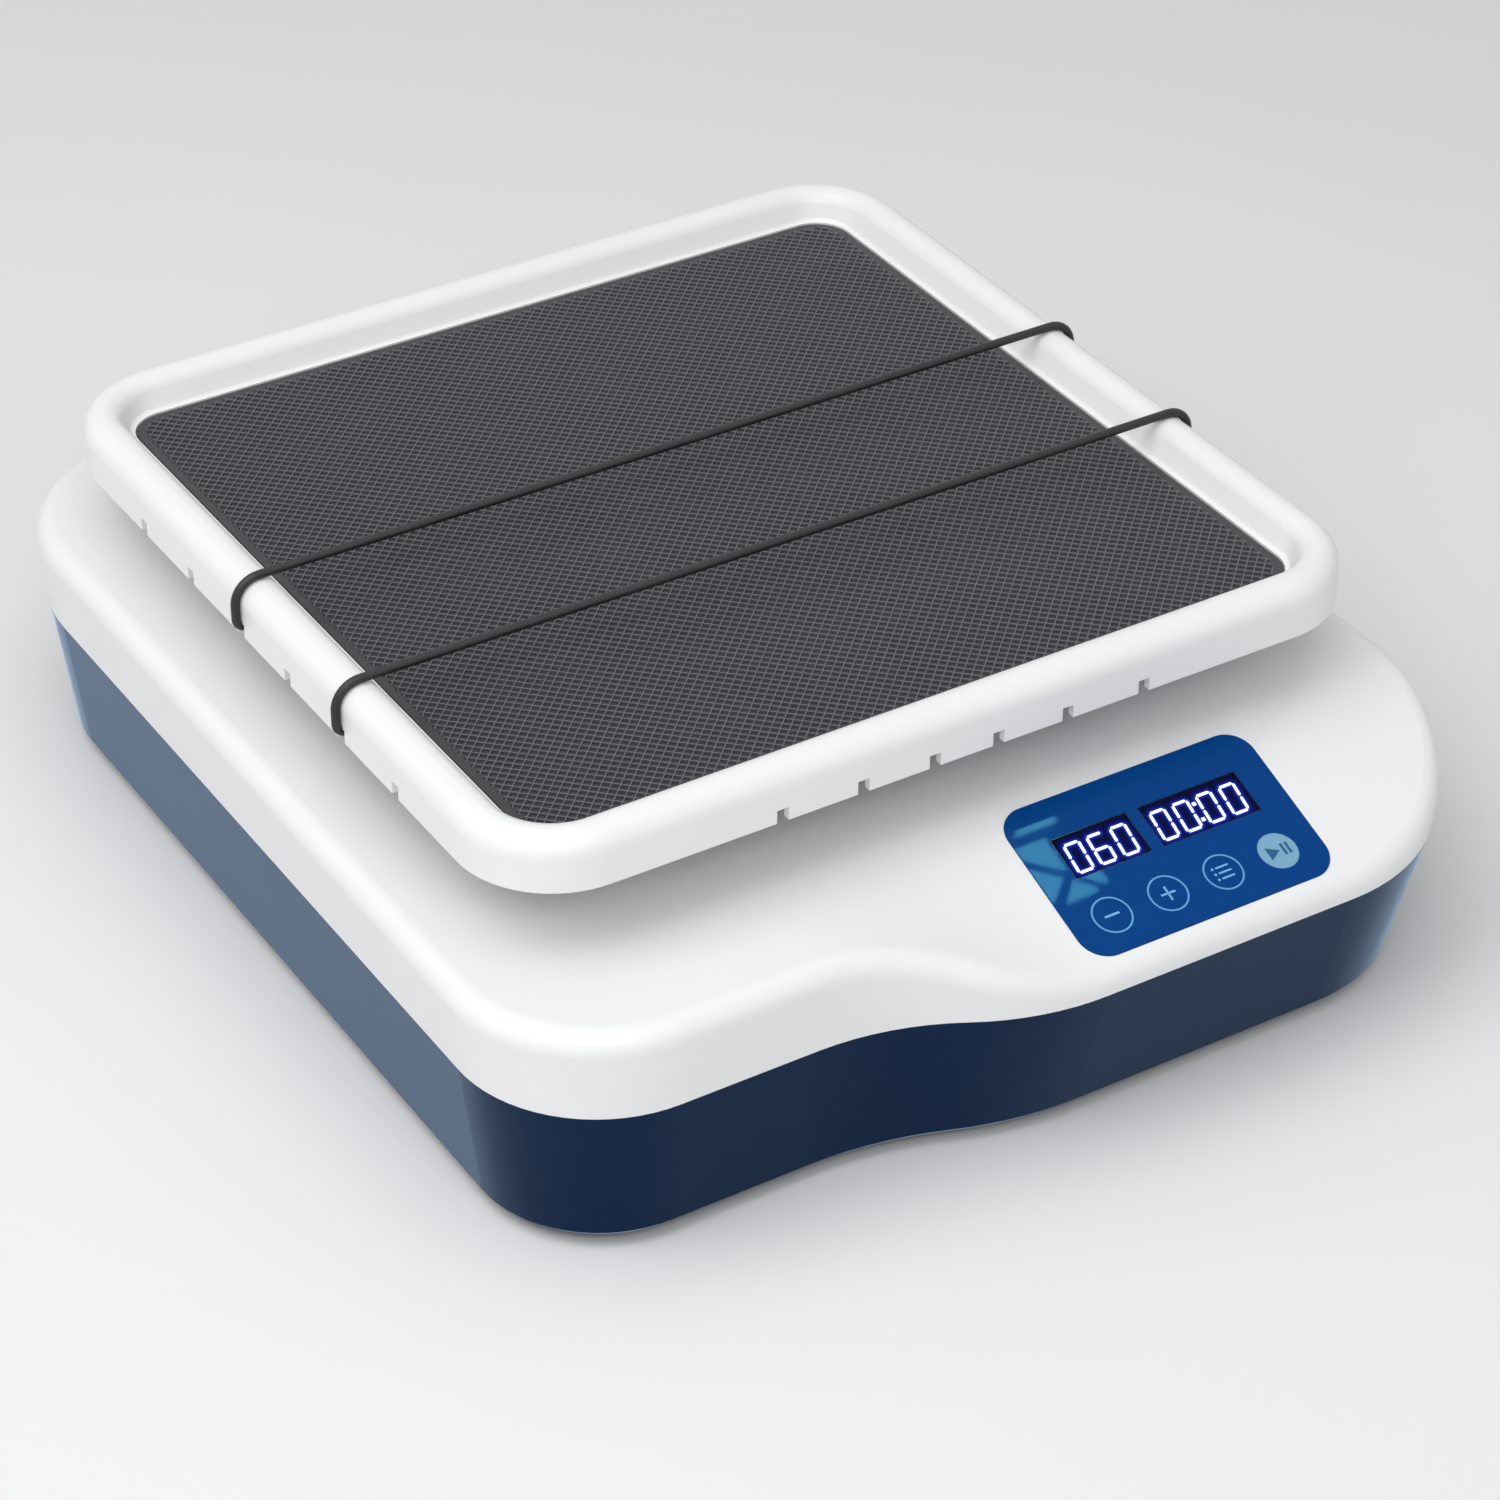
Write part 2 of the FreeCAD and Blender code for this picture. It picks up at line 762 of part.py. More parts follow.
def circuit_screw_places():
    return board_corners(supply_board) + board_corners(drive_board_place)


def bare_board(place):
    x, y, length, width = place
    return box(x - length / 2, x + length / 2, y - width / 2, y + width / 2, board_z,
               board_z + board_thickness)


def board_holes(place):
    return [rod_up(x, y, tiny_screw[2] + 2 * screw_gap, board_z - 1, board_z + board_thickness + 1)
            for x, y in board_corners(place)]


def power_supply():
    """Mains supply: board, transformer on a laminated core, two capacitors and a finned sink."""
    x, y, length, width = supply_board
    top = board_z + board_thickness
    core = block_on(x + supply_core_offset, y, supply_core, top)
    bobbin = block_on(x + supply_core_offset, y, supply_bobbin, top + supply_bobbin_lift)
    parts = [bare_board(supply_board), core, bobbin]
    for side in (-1, 1):
        can = rod_up(x + supply_can_offset, y + side * supply_can_spacing / 2, supply_can[0], top,
                     top + supply_can[1])
        parts.append(can.makeFillet(supply_can_edge, [can.Edges[0]]))
    sink_y = y + supply_sink_shift
    back = (supply_sink[0], supply_sink_back, supply_sink[2])
    parts.append(block_on(x + supply_sink_offset, sink_y - (supply_sink[1] - supply_sink_back) / 2,
                          back, top))
    spread = supply_sink[0] - supply_fin
    for index in range(supply_fin_count):
        fin_x = x + supply_sink_offset - spread / 2 + index * spread / (supply_fin_count - 1)
        parts.append(block_on(fin_x, sink_y, (supply_fin, supply_sink[1], supply_sink[2]), top))
    terminal_x = x - length / 2 + supply_terminal_inset + supply_terminal[0] / 2
    parts.append(block_on(terminal_x, y, supply_terminal, top))
    return join(parts).cut(board_holes(supply_board))


def drive_board():
    """Motor driver: board, a square chip, a row of terminals and two capacitors."""
    x, y, length, width = drive_board_place
    top = board_z + board_thickness
    parts = [bare_board(drive_board_place), block_on(x, y, drive_chip, top)]
    first_x = x - length / 2 + drive_terminal_inset[0] + drive_terminal[0] / 2
    row_y = y - width / 2 + drive_terminal_inset[1] + drive_terminal[1] / 2
    for index in range(drive_terminal_count):
        parts.append(block_on(first_x + index * drive_terminal_pitch, row_y, drive_terminal, top))
    for side in (-1, 1):
        parts.append(rod_up(x + drive_can_offset, y + side * drive_can_spacing / 2, drive_can[0], top,
                            top + drive_can[1]))
    return join(parts).cut(board_holes(drive_board_place))


def circuit_screws():
    seat = board_z + board_thickness
    return group([screw(tiny_screw, board_thickness + circuit_screw_grip, x, y, seat)
                  for x, y in circuit_screw_places()])


# Chassis, rods and carriage

def chassis_screw_places():
    dx = chassis_length / 2 - chassis_screw_inset
    dy = chassis_width / 2 - chassis_screw_inset
    return [(x, tray_centre_y + y) for x in (-dx, 0, dx) for y in (-dy, dy)]


def support_places():
    dx = support_spacing / 2
    dy = rod_spacing / 2
    return [(x, tray_centre_y + y) for x in (-dx, dx) for y in (-dy, dy)]


def support_screw_places():
    half = support_screw_spacing / 2
    return [(x, y + side * half) for x, y in support_places() for side in (-1, 1)]


def block_places():
    dx = block_spacing / 2
    dy = rod_spacing / 2
    return [(x, tray_centre_y + y) for x in (-dx, dx) for y in (-dy, dy)]


def block_screw_places():
    dx = block_screw_spacing_x / 2
    return [(x + side * dx, y + side * block_screw_offset_y)
            for x, y in block_places() for side in (-1, 1)]


def bridge_screw_places():
    dx = bridge_length / 2 + bridge_foot / 2
    dy = bridge_screw_spacing / 2
    return [(x, tray_centre_y + y) for x in (-dx, dx) for y in (-dy, dy)]


def chassis_plate():
    plate = slab(round_rectangle(chassis_length, chassis_width, chassis_corner_radius,
                                 0, tray_centre_y, chassis_z), chassis_thickness)
    cuts = []
    for x in (-chassis_window_x, chassis_window_x):
        window = round_rectangle(chassis_window_length, chassis_window_width, chassis_window_radius,
                                 x, tray_centre_y, chassis_z - 1)
        cuts.append(slab(window, chassis_thickness + 2))
    shank = medium_screw[2] + 2 * screw_gap
    for x, y in chassis_screw_places() + support_screw_places() + bridge_screw_places():
        cuts.append(rod_up(x, y, shank, chassis_z - 1, chassis_top_z + 1))
    return plate.cut(cuts)


def chassis_screws():
    length = chassis_thickness + chassis_above_floor
    return group([screw(medium_screw, length, x, y, chassis_top_z) for x, y in chassis_screw_places()])


def guide_rods():
    half = rod_length / 2
    rods = []
    for side in (-1, 1):
        y = tray_centre_y + side * rod_spacing / 2
        rod = rod_along_x(rod_diameter, -half, half, y, rod_z)
        rods.append(rod.makeChamfer(rod_end_chamfer, [rod.Edges[0], rod.Edges[2]]))
    return group(rods)


def rod_supports():
    """Shaft supports: a foot, a neck with the bore, and the clamp slit above the rod."""
    made = []
    for x, y in support_places():
        x0 = x - support_length / 2
        x1 = x + support_length / 2
        top = rod_z + support_top_above_rod
        foot = box(x0, x1, y - support_foot_width / 2, y + support_foot_width / 2,
                   chassis_top_z, chassis_top_z + support_foot_height)
        neck = box(x0, x1, y - support_neck_width / 2, y + support_neck_width / 2, chassis_top_z, top)
        body = join([foot, neck])
        corners = [edge for edge in body.Edges
                   if abs(edge.BoundBox.XLength - support_length) < 1e-6
                   and edge.BoundBox.ZMin > top - 1e-6]
        body = body.makeChamfer(support_chamfer, corners)
        cuts = [rod_along_x(rod_diameter + 2 * fit_gap, x0 - 1, x1 + 1, y, rod_z)]
        cuts.append(box(x0 - 1, x1 + 1, y - support_slit / 2, y + support_slit / 2, rod_z, top + 1))
        for side in (-1, 1):
            cuts.append(rod_up(x, y + side * support_screw_spacing / 2, medium_screw[2] + 2 * screw_gap,
                               chassis_top_z - 1, chassis_top_z + support_foot_height + 1))
        made.append(body.cut(cuts))
    return group(made)


def support_screws():
    length = support_foot_height + chassis_thickness
    return group([screw(medium_screw, length, x, y, chassis_top_z + support_foot_height)
                  for x, y in support_screw_places()])


def bearing_blocks():
    """Blocks for the linear bushings, with chamfered shoulders and screw holes in the top."""
    made = []
    for x, y in block_places():
        half_y = block_width / 2
        low = rod_z - block_below_rod
        high = rod_z + block_above_rod
        cut = block_chamfer
        ring = [(y - half_y + cut, low), (y + half_y - cut, low), (y + half_y, low + cut),
                (y + half_y, high), (y - half_y, high), (y - half_y, low + cut)]
        points = [Vector(x - block_length / 2, a, b) for a, b in ring]
        body = Part.Face(Part.makePolygon(points + points[:1])).extrude(Vector(block_length, 0, 0))
        holes = [rod_along_x(bushing_diameter + 2 * fit_gap, x - block_length, x + block_length,
                             y, rod_z)]
        for side in (-1, 1):
            holes.append(rod_up(x + side * block_screw_spacing_x / 2, y + side * block_screw_offset_y,
                                medium_screw[2] + 2 * screw_gap, high - block_screw_depth - 1, high + 1))
        made.append(body.cut(holes))
    return group(made)


def linear_bushings():
    made = []
    for x, y in block_places():
        outer = rod_along_x(bushing_diameter, x - bushing_length / 2, x + bushing_length / 2, y, rod_z)
        outer = outer.makeChamfer(bushing_chamfer, [outer.Edges[0], outer.Edges[2]])
        bore = rod_along_x(rod_diameter + 2 * bushing_running_gap, x - block_length, x + block_length,
                           y, rod_z)
        made.append(outer.cut(bore))
    return group(made)


def yoke_screw_places():
    dx = yoke_screw_spacing_x / 2
    dy = yoke_screw_spacing_y / 2
    return [(x, tray_centre_y + y) for x in (-dx, dx) for y in (-dy, dy)]


def carriage_plate():
    """The plate that ties the four bearing blocks, with windows to save mass."""
    plate = slab(round_rectangle(carriage_length, carriage_width, carriage_radius,
                                 0, tray_centre_y, carriage_z), carriage_thickness)
    cuts = []
    for x in (-carriage_window_x, carriage_window_x):
        window = round_rectangle(carriage_window_length, carriage_window_width, carriage_window_radius,
                                 x, tray_centre_y, carriage_z - 1)
        cuts.append(slab(window, carriage_thickness + 2))
    shank = medium_screw[2] + 2 * screw_gap
    for x, y in block_screw_places() + yoke_screw_places():
        cuts.append(rod_up(x, y, shank, carriage_z - 1, carriage_top_z + 1))
    for x, y in post_places():
        cuts.append(rod_up(x, y, large_screw[2] + 2 * screw_gap, carriage_z - 1, carriage_top_z + 1))
    return plate.cut(cuts)


def block_screws():
    return group([screw(medium_screw, carriage_thickness + block_screw_depth, x, y, carriage_top_z)
                  for x, y in block_screw_places()])


def tray_posts():
    """Four posts that carry the tray through the cover's slots, tapped at both ends."""
    made = []
    for x, y in post_places():
        post = rod_up(x, y, post_diameter, carriage_top_z, tray_bottom_z)
        post = post.makeChamfer(post_chamfer, [post.Edges[0], post.Edges[2]])
        bore = large_screw[2] + 2 * screw_gap
        low = rod_up(x, y, bore, carriage_top_z - 1, carriage_top_z + post_bore_depth)
        high = rod_up(x, y, bore, tray_bottom_z - post_bore_depth, tray_bottom_z + 1)
        made.append(post.cut([low, high]))
    return group(made)


def post_screws():
    length = carriage_thickness + post_bore_depth - 2
    return group([screw(large_screw, length, x, y, carriage_z, 1) for x, y in post_places()])


def post_grommets():
    """Rubber sleeves with a top flange that line the four slots of the cover."""
    made = []
    inner_length, inner_width = slot_size(0)
    outer_length, outer_width = slot_size(grommet_wall - window_gap)
    flange_length, flange_width = slot_size(grommet_wall + grommet_flange)
    for x, y in post_places():
        sleeve = slab(round_rectangle(outer_length, outer_width, outer_width / 2, x, y,
                                      top_z - wall - 1), wall + 1)
        flange = slab(round_rectangle(flange_length, flange_width, flange_width / 2, x, y, top_z),
                      grommet_flange_thickness)
        hole = slab(round_rectangle(inner_length, inner_width, inner_width / 2, x, y,
                                    top_z - 2 * wall), 4 * wall)
        made.append(join([sleeve, flange]).cut(hole))
    return group(made)


# Drive

def motor_screw_places():
    radius = motor_screw_circle / 2
    return [(radius * math.cos(math.radians(a)), tray_centre_y + radius * math.sin(math.radians(a)))
            for a in (45, 135, 225, 315)]


def motor_bridge():
    """A folded sheet bridge over the motor, with two feet on the chassis."""
    half = bridge_length / 2
    foot = half + bridge_foot
    sheet = bridge_sheet
    low = chassis_top_z
    profile = [(-foot, low), (-half + sheet, low), (-half + sheet, bridge_z - sheet),
               (half - sheet, bridge_z - sheet), (half - sheet, low), (foot, low),
               (foot, low + sheet), (half, low + sheet), (half, bridge_z), (-half, bridge_z),
               (-half, low + sheet), (-foot, low + sheet)]
    front = tray_centre_y - bridge_width / 2
    points = [Vector(x, front, z) for x, z in profile]
    body = Part.Face(Part.makePolygon(points + points[:1])).extrude(Vector(0, bridge_width, 0))
    outer_folds = [edge for edge in body.Edges
                   if abs(edge.BoundBox.YLength - bridge_width) < 1e-6
                   and edge.BoundBox.ZMin > bridge_z - 1e-6]
    body = body.makeFillet(bridge_fold_radius, outer_folds)
    cuts = [rod_up(0, tray_centre_y, motor_boss_diameter + 2 * screw_gap, bridge_z - 2 * sheet,
                   bridge_z + 1)]
    for x, y in motor_screw_places():
        cuts.append(rod_up(x, y, small_screw[2] + 2 * screw_gap, bridge_z - 2 * sheet, bridge_z + 1))
    for x, y in bridge_screw_places():
        cuts.append(rod_up(x, y, medium_screw[2] + 2 * screw_gap, low - 1, low + sheet + 1))
    return body.cut(cuts)


def bridge_screws():
    seat = chassis_top_z + bridge_sheet
    return group([screw(medium_screw, bridge_sheet + chassis_thickness, x, y, seat)
                  for x, y in bridge_screw_places()])


def drive_motor():
    """Motor can with a rolled edge, front boss and open shaft bore."""
    top = bridge_z - bridge_sheet
    low = top - motor_length
    can = rod_up(0, tray_centre_y, motor_diameter, low, top)
    can = can.makeFillet(motor_edge_radius, [can.Edges[2]])
    boss = rod_up(0, tray_centre_y, motor_boss_diameter, low, bridge_z + motor_boss_height)
    body = join([can, boss])
    bore = shaft_diameter + 2 * shaft_running_gap
    cuts = [rod_up(0, tray_centre_y, bore, low + motor_length * motor_bore_share, bridge_z + 3)]
    for x, y in motor_screw_places():
        cuts.append(rod_up(x, y, small_screw[2] + 2 * screw_gap, top - motor_screw_hole_depth,
                           top + 1))
    return body.cut(cuts)


def motor_screws():
    return group([screw(small_screw, bridge_sheet + motor_screw_grip, x, y, bridge_z)
                  for x, y in motor_screw_places()])


def motor_shaft():
    low = bridge_z - bridge_sheet - motor_length * shaft_in_motor_share
    return rod_up(0, tray_centre_y, shaft_diameter, low, hub_z + hub_height - 2)


def crank_hub():
    """Eccentric hub: bored for the motor shaft, with the journal beside its axis on top."""
    disc = rod_up(0, tray_centre_y, hub_diameter, hub_z, journal_z)
    journal_y = tray_centre_y - crank_radius
    top = roller_z + roller_height
    shoulder = rod_up(0, journal_y, journal_diameter + 2 * journal_shoulder, journal_z, roller_z)
    journal = rod_up(0, journal_y, journal_diameter, journal_z, top + 2 * circlip_thickness)
    groove_outer = rod_up(0, journal_y, journal_diameter + circlip_lip, top + screw_gap,
                          top + screw_gap + circlip_thickness)
    groove = groove_outer.cut(rod_up(0, journal_y, journal_diameter - 2 * circlip_seat, top, top + 2))
    body = join([disc, shoulder, journal]).cut(groove)
    bore = rod_up(0, tray_centre_y, shaft_diameter + fit_gap, hub_z - 1, journal_z - 2)
    grub = Part.makeCylinder(grub_hole_diameter / 2, hub_diameter,
                             Vector(0, tray_centre_y, hub_z + hub_height / 2),
                             Vector(0, 1, 0))
    return body.cut([bore, grub])


def crank_grub_screw():
    start = tray_centre_y + shaft_diameter / 2 + screw_gap / 2
    return Part.makeCylinder(grub_screw_diameter / 2, hub_diameter / 2 - shaft_diameter / 2 - 1,
                             Vector(0, start, hub_z + hub_height / 2), Vector(0, 1, 0))


def journal_circlip():
    journal_y = tray_centre_y - crank_radius
    low = roller_z + roller_height + screw_gap + fit_gap
    ring = rod_up(0, journal_y, journal_diameter + 2 * circlip_lip, low,
                  low + circlip_thickness - 2 * fit_gap)
    hole = rod_up(0, journal_y, journal_diameter - 2 * circlip_seat + screw_gap, low - 1, low + 2)
    gap = box(-circlip_opening / 2, circlip_opening / 2, journal_y - journal_diameter, journal_y,
              low - 1, low + 2)
    return ring.cut([hole, gap])


def crank_roller():
    journal_y = tray_centre_y - crank_radius
    outer = rod_up(0, journal_y, roller_diameter, roller_z, roller_z + roller_height)
    outer = outer.makeChamfer(roller_chamfer, [outer.Edges[0], outer.Edges[2]])
    bore = rod_up(0, journal_y, journal_diameter + 2 * roller_running_gap, roller_z - 1,
                  roller_z + roller_height + 1)
    return outer.cut(bore)


def drive_yoke():
    """The block under the carriage whose cross slot the roller runs in."""
    low = roller_z - yoke_below_roller
    body = slab(round_rectangle(yoke_length, yoke_width, yoke_radius, 0, tray_centre_y, low),
                carriage_z - low)
    slot_width = roller_diameter + 2 * yoke_slot_play
    slot_length = roller_diameter + 2 * crank_radius + 2 * yoke_slot_end_gap
    slot = slab(round_rectangle(slot_width, slot_length, slot_width / 2, 0, tray_centre_y, low - 1),
                carriage_z - low + 2)
    cuts = [slot]
    for x, y in yoke_screw_places():
        cuts.append(rod_up(x, y, medium_screw[2] + 2 * screw_gap, low - 1, carriage_z + 1))
    return body.cut(cuts)


def yoke_screws():
    return group([screw(medium_screw, carriage_thickness + yoke_screw_grip, x, y, carriage_top_z)
                  for x, y in yoke_screw_places()])


# Tray

def tray_square(half, radius, z):
    return round_rectangle(2 * half, 2 * half, radius, 0, tray_centre_y, z)


def slope_square(z, outwards):
    """Outline of the rim's inner slope at a level, as if it ran straight on, moved outwards."""
    share = (z - ledge_z) / (tray_crest_z - ledge_z)
    half = bed_half + share * rim_slope_run
    radius = bed_radius + share * (crest_inner_radius - bed_radius)
    return tray_square(half + outwards, radius + outwards, z)


def rim_pocket():
    """The hollow inside the rim: the slope from the ledge round the mat up to the crest."""
    above = tray_square(crest_half, crest_inner_radius, tray_crest_z + tray_height)
    return Part.makeLoft([slope_square(ledge_z, 0), slope_square(tray_crest_z, 0), above], True, True)


def mat_recess():
    """The shallow recess that the mat lies in, a little wider than the mat."""
    return slab(tray_square(mat_size / 2 + mat_gap, mat_radius + mat_gap, mat_rest_z),
                tray_height)


def rim_channel():
    """The hollow under the rim, between the skirt and the slope that holds the mat."""
    top = tray_floor_z + rim_channel_depth
    inside = tray_half - tray_wall
    ring = slab(tray_square(inside, tray_radius - tray_wall, tray_floor_z - 0.5), top - tray_floor_z + 0.5)
    rise = tray_crest_z - ledge_z
    shift = tray_wall * math.hypot(rim_slope_run, rise) / rise
    core = Part.makeLoft([slope_square(tray_floor_z - 1, shift), slope_square(top + 1, shift)], True, True)
    return ring.cut(core)


def level_edges(shape, z, within):
    """Edges that lie level at z, no farther out than this from the tray's middle."""
    found = []
    for edge in shape.Edges:
        bounds = edge.BoundBox
        level = abs(bounds.ZMin - z) < 1e-4 and abs(bounds.ZMax - z) < 1e-4
        sideways = max(bounds.XMax, -bounds.XMin, bounds.YMax - tray_centre_y, tray_centre_y - bounds.YMin)
        if level and sideways < within:
            found.append(edge)
    return found


def notch_cutters():
    """Small notches in the skirt's lower edge, mirrored front to back and left to right."""
    cutters = []
    low = tray_bottom_z - 1
    high = tray_bottom_z + notch_height
    half = notch_width / 2
    deep = tray_half - 2 * tray_wall
    for place in notch_places_front:
        for x in (-place, place):
            for side in (-1, 1):
                y0, y1 = sorted((tray_centre_y + side * deep, tray_centre_y + side * (tray_half + 1)))
                cutters.append(box(x - half, x + half, y0, y1, low, high))
    for place in notch_places_side:
        for y in (tray_centre_y - place, tray_centre_y + place):
            for side in (-1, 1):
                x0, x1 = sorted((side * deep, side * (tray_half + 1)))
                cutters.append(box(x0, x1, y - half, y + half, low, high))
    return cutters


def tray():
    """The moulded tray: rolled rim, hollow from below, floor with ribs and screw bosses."""
    block = slab(round_rectangle(tray_size, tray_size, tray_radius, 0, tray_centre_y, tray_bottom_z),
                 tray_height)
    block = block.makeFillet(rim_crest_radius, top_edges(block))
    body = block.cut(rim_pocket())
    body = body.makeFillet(rim_inner_radius, level_edges(body, tray_crest_z, crest_half + 0.1))
    body = body.makeFillet(rim_cove_radius, level_edges(body, ledge_z, bed_half + 0.1))
    body = body.cut(mat_recess())
    under = slab(tray_square(tray_half - tray_wall, tray_radius - tray_wall, tray_bottom_z - 1),
                 tray_floor_z - tray_bottom_z + 1)
    body = body.cut([under, rim_channel()])
    ribs = []
    rib_reach = bed_half - tray_rib_thickness
    for place in tray_rib_places:
        y = tray_centre_y + place
        ribs.append(box(-rib_reach, rib_reach, y - tray_rib_thickness / 2, y + tray_rib_thickness / 2,
                        tray_bottom_z, tray_floor_z))
    bosses = [rod_up(x, y, post_diameter + 2 * tray_boss_margin, tray_bottom_z, tray_floor_z)
              for x, y in post_places()]
    body = join([body] + ribs + bosses)
    holes = []
    for x, y in post_places():
        holes.append(rod_up(x, y, large_screw[2] + 2 * screw_gap, tray_bottom_z - 1, mat_rest_z + 1))
        holes.append(rod_up(x, y, large_screw[0] + 1, mat_rest_z - tray_screw_sink, mat_rest_z + 1))
    return body.cut(holes + notch_cutters())


def tray_screws():
    """Low-headed screws under the mat, down into the posts."""
    made = []
    for x, y in post_places():
        seat = mat_rest_z - tray_screw_sink
        head = rod_up(x, y, large_screw[0], seat, mat_rest_z - screw_gap)
        shank = rod_up(x, y, large_screw[2], tray_bottom_z - tray_screw_grip, seat)
        made.append(join([head, shank]))
    return group(made)


def mat():
    return slab(tray_square(mat_size / 2, mat_radius, mat_rest_z), mat_thickness)


def band(y):
    """A closed elastic band round the tray: over the mat, into the notches and under the floor."""
    radius = band_diameter / 2
    away = radius + band_clearance
    crest_radius = rim_crest_radius + away
    crest_x = tray_half - rim_crest_radius
    top = tray_crest_z + away
    side_x = tray_half + away
    crest_z = tray_crest_z - rim_crest_radius
    under = tray_bottom_z + notch_height - away
    tuck_z = under + band_tuck_radius
    tuck_x = side_x - band_tuck_radius

    def quarter(x, z, bend, start):
        points = [Vector(x + bend * math.cos(math.radians(a)), y, z + bend * math.sin(math.radians(a)))
                  for a in (start, start + 45, start + 90)]
        return Part.Arc(*points).toShape()

    arcs = [quarter(crest_x, crest_z, crest_radius, 0), quarter(-crest_x, crest_z, crest_radius, 90),
            quarter(-tuck_x, tuck_z, band_tuck_radius, 180), quarter(tuck_x, tuck_z, band_tuck_radius, 270)]
    section = Part.Wire(Part.makeCircle(radius, Vector(crest_x, y, top), Vector(1, 0, 0)))
    return closed_through(arcs).makePipeShell([section], True, False)


# Control panel

def control_panel():
    body = slab(round_rectangle(panel_width, panel_height, panel_radius, panel_width / 2,
                                panel_height / 2, panel_proud - panel_thickness), panel_thickness)
    cuts = []
    for left, width in ((speed_window_left, speed_window_width), (timer_window_left, timer_window_width)):
        cuts.append(box(left - window_gap, left + width + window_gap, window_front - window_gap,
                        window_front + window_height + window_gap, -2, 2))
    for x, y in key_centres():
        cuts.append(rod_up(x, y, key_diameter + 2 * key_gap, -2, 2))
    return on_panel(body.cut(cuts))


def display(left, width):
    """One display module: its block stands on the board and its face fills the panel's window."""
    body = box(left, left + width, window_front, window_front + window_height, -board_depth,
               panel_proud - 0.1)
    return on_panel(body)


def display_board():
    body = box(board_margin_x, panel_width - board_margin_x, board_front, board_back,
               -board_depth - board_thickness, -board_depth)
    holes = [rod_up(x, y, tiny_screw[2] + 2 * screw_gap, -board_depth - 3, -board_depth + 1)
             for x, y in board_screw_places()]
    return on_panel(body.cut(holes))


def board_screws():
    seat = -board_depth - board_thickness
    return group([on_panel(screw(tiny_screw, board_thickness + board_screw_grip, x, y, seat, 1))
                  for x, y in board_screw_places()])


def panel_key(x, y):
    """A key: round cap, flange that holds it under the panel, and a stem to its switch."""
    low = panel_proud - panel_thickness - key_shelf_gap
    cap = rod_up(x, y, key_diameter, low - key_flange_thickness, panel_proud)
    flange = rod_up(x, y, key_diameter + 2 * key_flange, low - key_flange_thickness, low)
    switch_top = -board_depth + switch_height + plunger_height
    stem = rod_up(x, y, key_stem_diameter, switch_top + key_travel + 0.05, low - key_flange_thickness)
    return on_panel(join([cap, flange, stem]))


def key_switches():
    made = []
    for x, y in key_centres():
        half = switch_size / 2
        body = box(x - half, x + half, y - half, y + half, -board_depth, -board_depth + switch_height)
        plunger = rod_up(x, y, plunger_diameter, -board_depth + switch_height,
                         -board_depth + switch_height + plunger_height)
        made.append(on_panel(join([body, plunger])))
    return group(made)


# Back

def power_inlet():
    """Mains inlet: flange, body and the six-sided cavity round three blades."""
    flange = round_rectangle(inlet_flange_length, inlet_flange_height, inlet_flange_radius)
    plate = slab(flange, inlet_flange_thickness)
    body = box(-inlet_body_length / 2, inlet_body_length / 2, -inlet_body_height / 2,
               inlet_body_height / 2, inlet_flange_thickness - inlet_body_depth, inlet_flange_thickness)
    hx = inlet_cavity_length / 2
    hy = inlet_cavity_height / 2
    cut = inlet_cavity_chamfer
    ring = [(-hx, hy), (-hx, -hy + cut), (-hx + cut, -hy), (hx - cut, -hy), (hx, -hy + cut), (hx, hy)]
    floor = inlet_flange_thickness - inlet_cavity_depth
    points = [Vector(a, b, floor) for a, b in ring]
    cavity = Part.Face(Part.makePolygon(points + points[:1])).extrude(Vector(0, 0, inlet_cavity_depth + 1))
    shell = join([plate, body]).cut(cavity)
    blades = []
    for index, drop in ((-1, 0), (0, inlet_earth_drop), (1, 0)):
        x = index * inlet_pin_pitch
        blades.append(box(x - inlet_pin_thickness / 2, x + inlet_pin_thickness / 2,
                          inlet_pin_row_lift - drop - inlet_pin_height / 2,
                          inlet_pin_row_lift - drop + inlet_pin_height / 2,
                          floor - 1, floor + inlet_pin_length))
    holes = [rod_up(side * inlet_screw_spacing / 2, 0, small_screw[2] + 2 * screw_gap, -1,
                    inlet_flange_thickness + 1) for side in (-1, 1)]
    return on_recess(join([shell] + blades).cut(holes), inlet_x)


def on_recess(shape, x):
    """Move a fitting drawn lying on its back onto the recess's floor, facing backwards."""
    placed = shape.copy()
    turn = Placement(Vector(x, recess_floor_y, connector_z), Rotation(Vector(1, 0, 0), -90))
    placed.Placement = turn.multiply(placed.Placement)
    return placed


def inlet_screws():
    return group([on_recess(screw(small_screw, inlet_screw_length, side * inlet_screw_spacing / 2, 0,
                                  inlet_flange_thickness), inlet_x) for side in (-1, 1)])


def rocker_cavity():
    """Width and height of the switch's open front."""
    return (rocker_frame_width - 2 * rocker_body_margin - 2 * rocker_wall,
            rocker_frame_height - 2 * rocker_body_margin - 2 * rocker_wall)


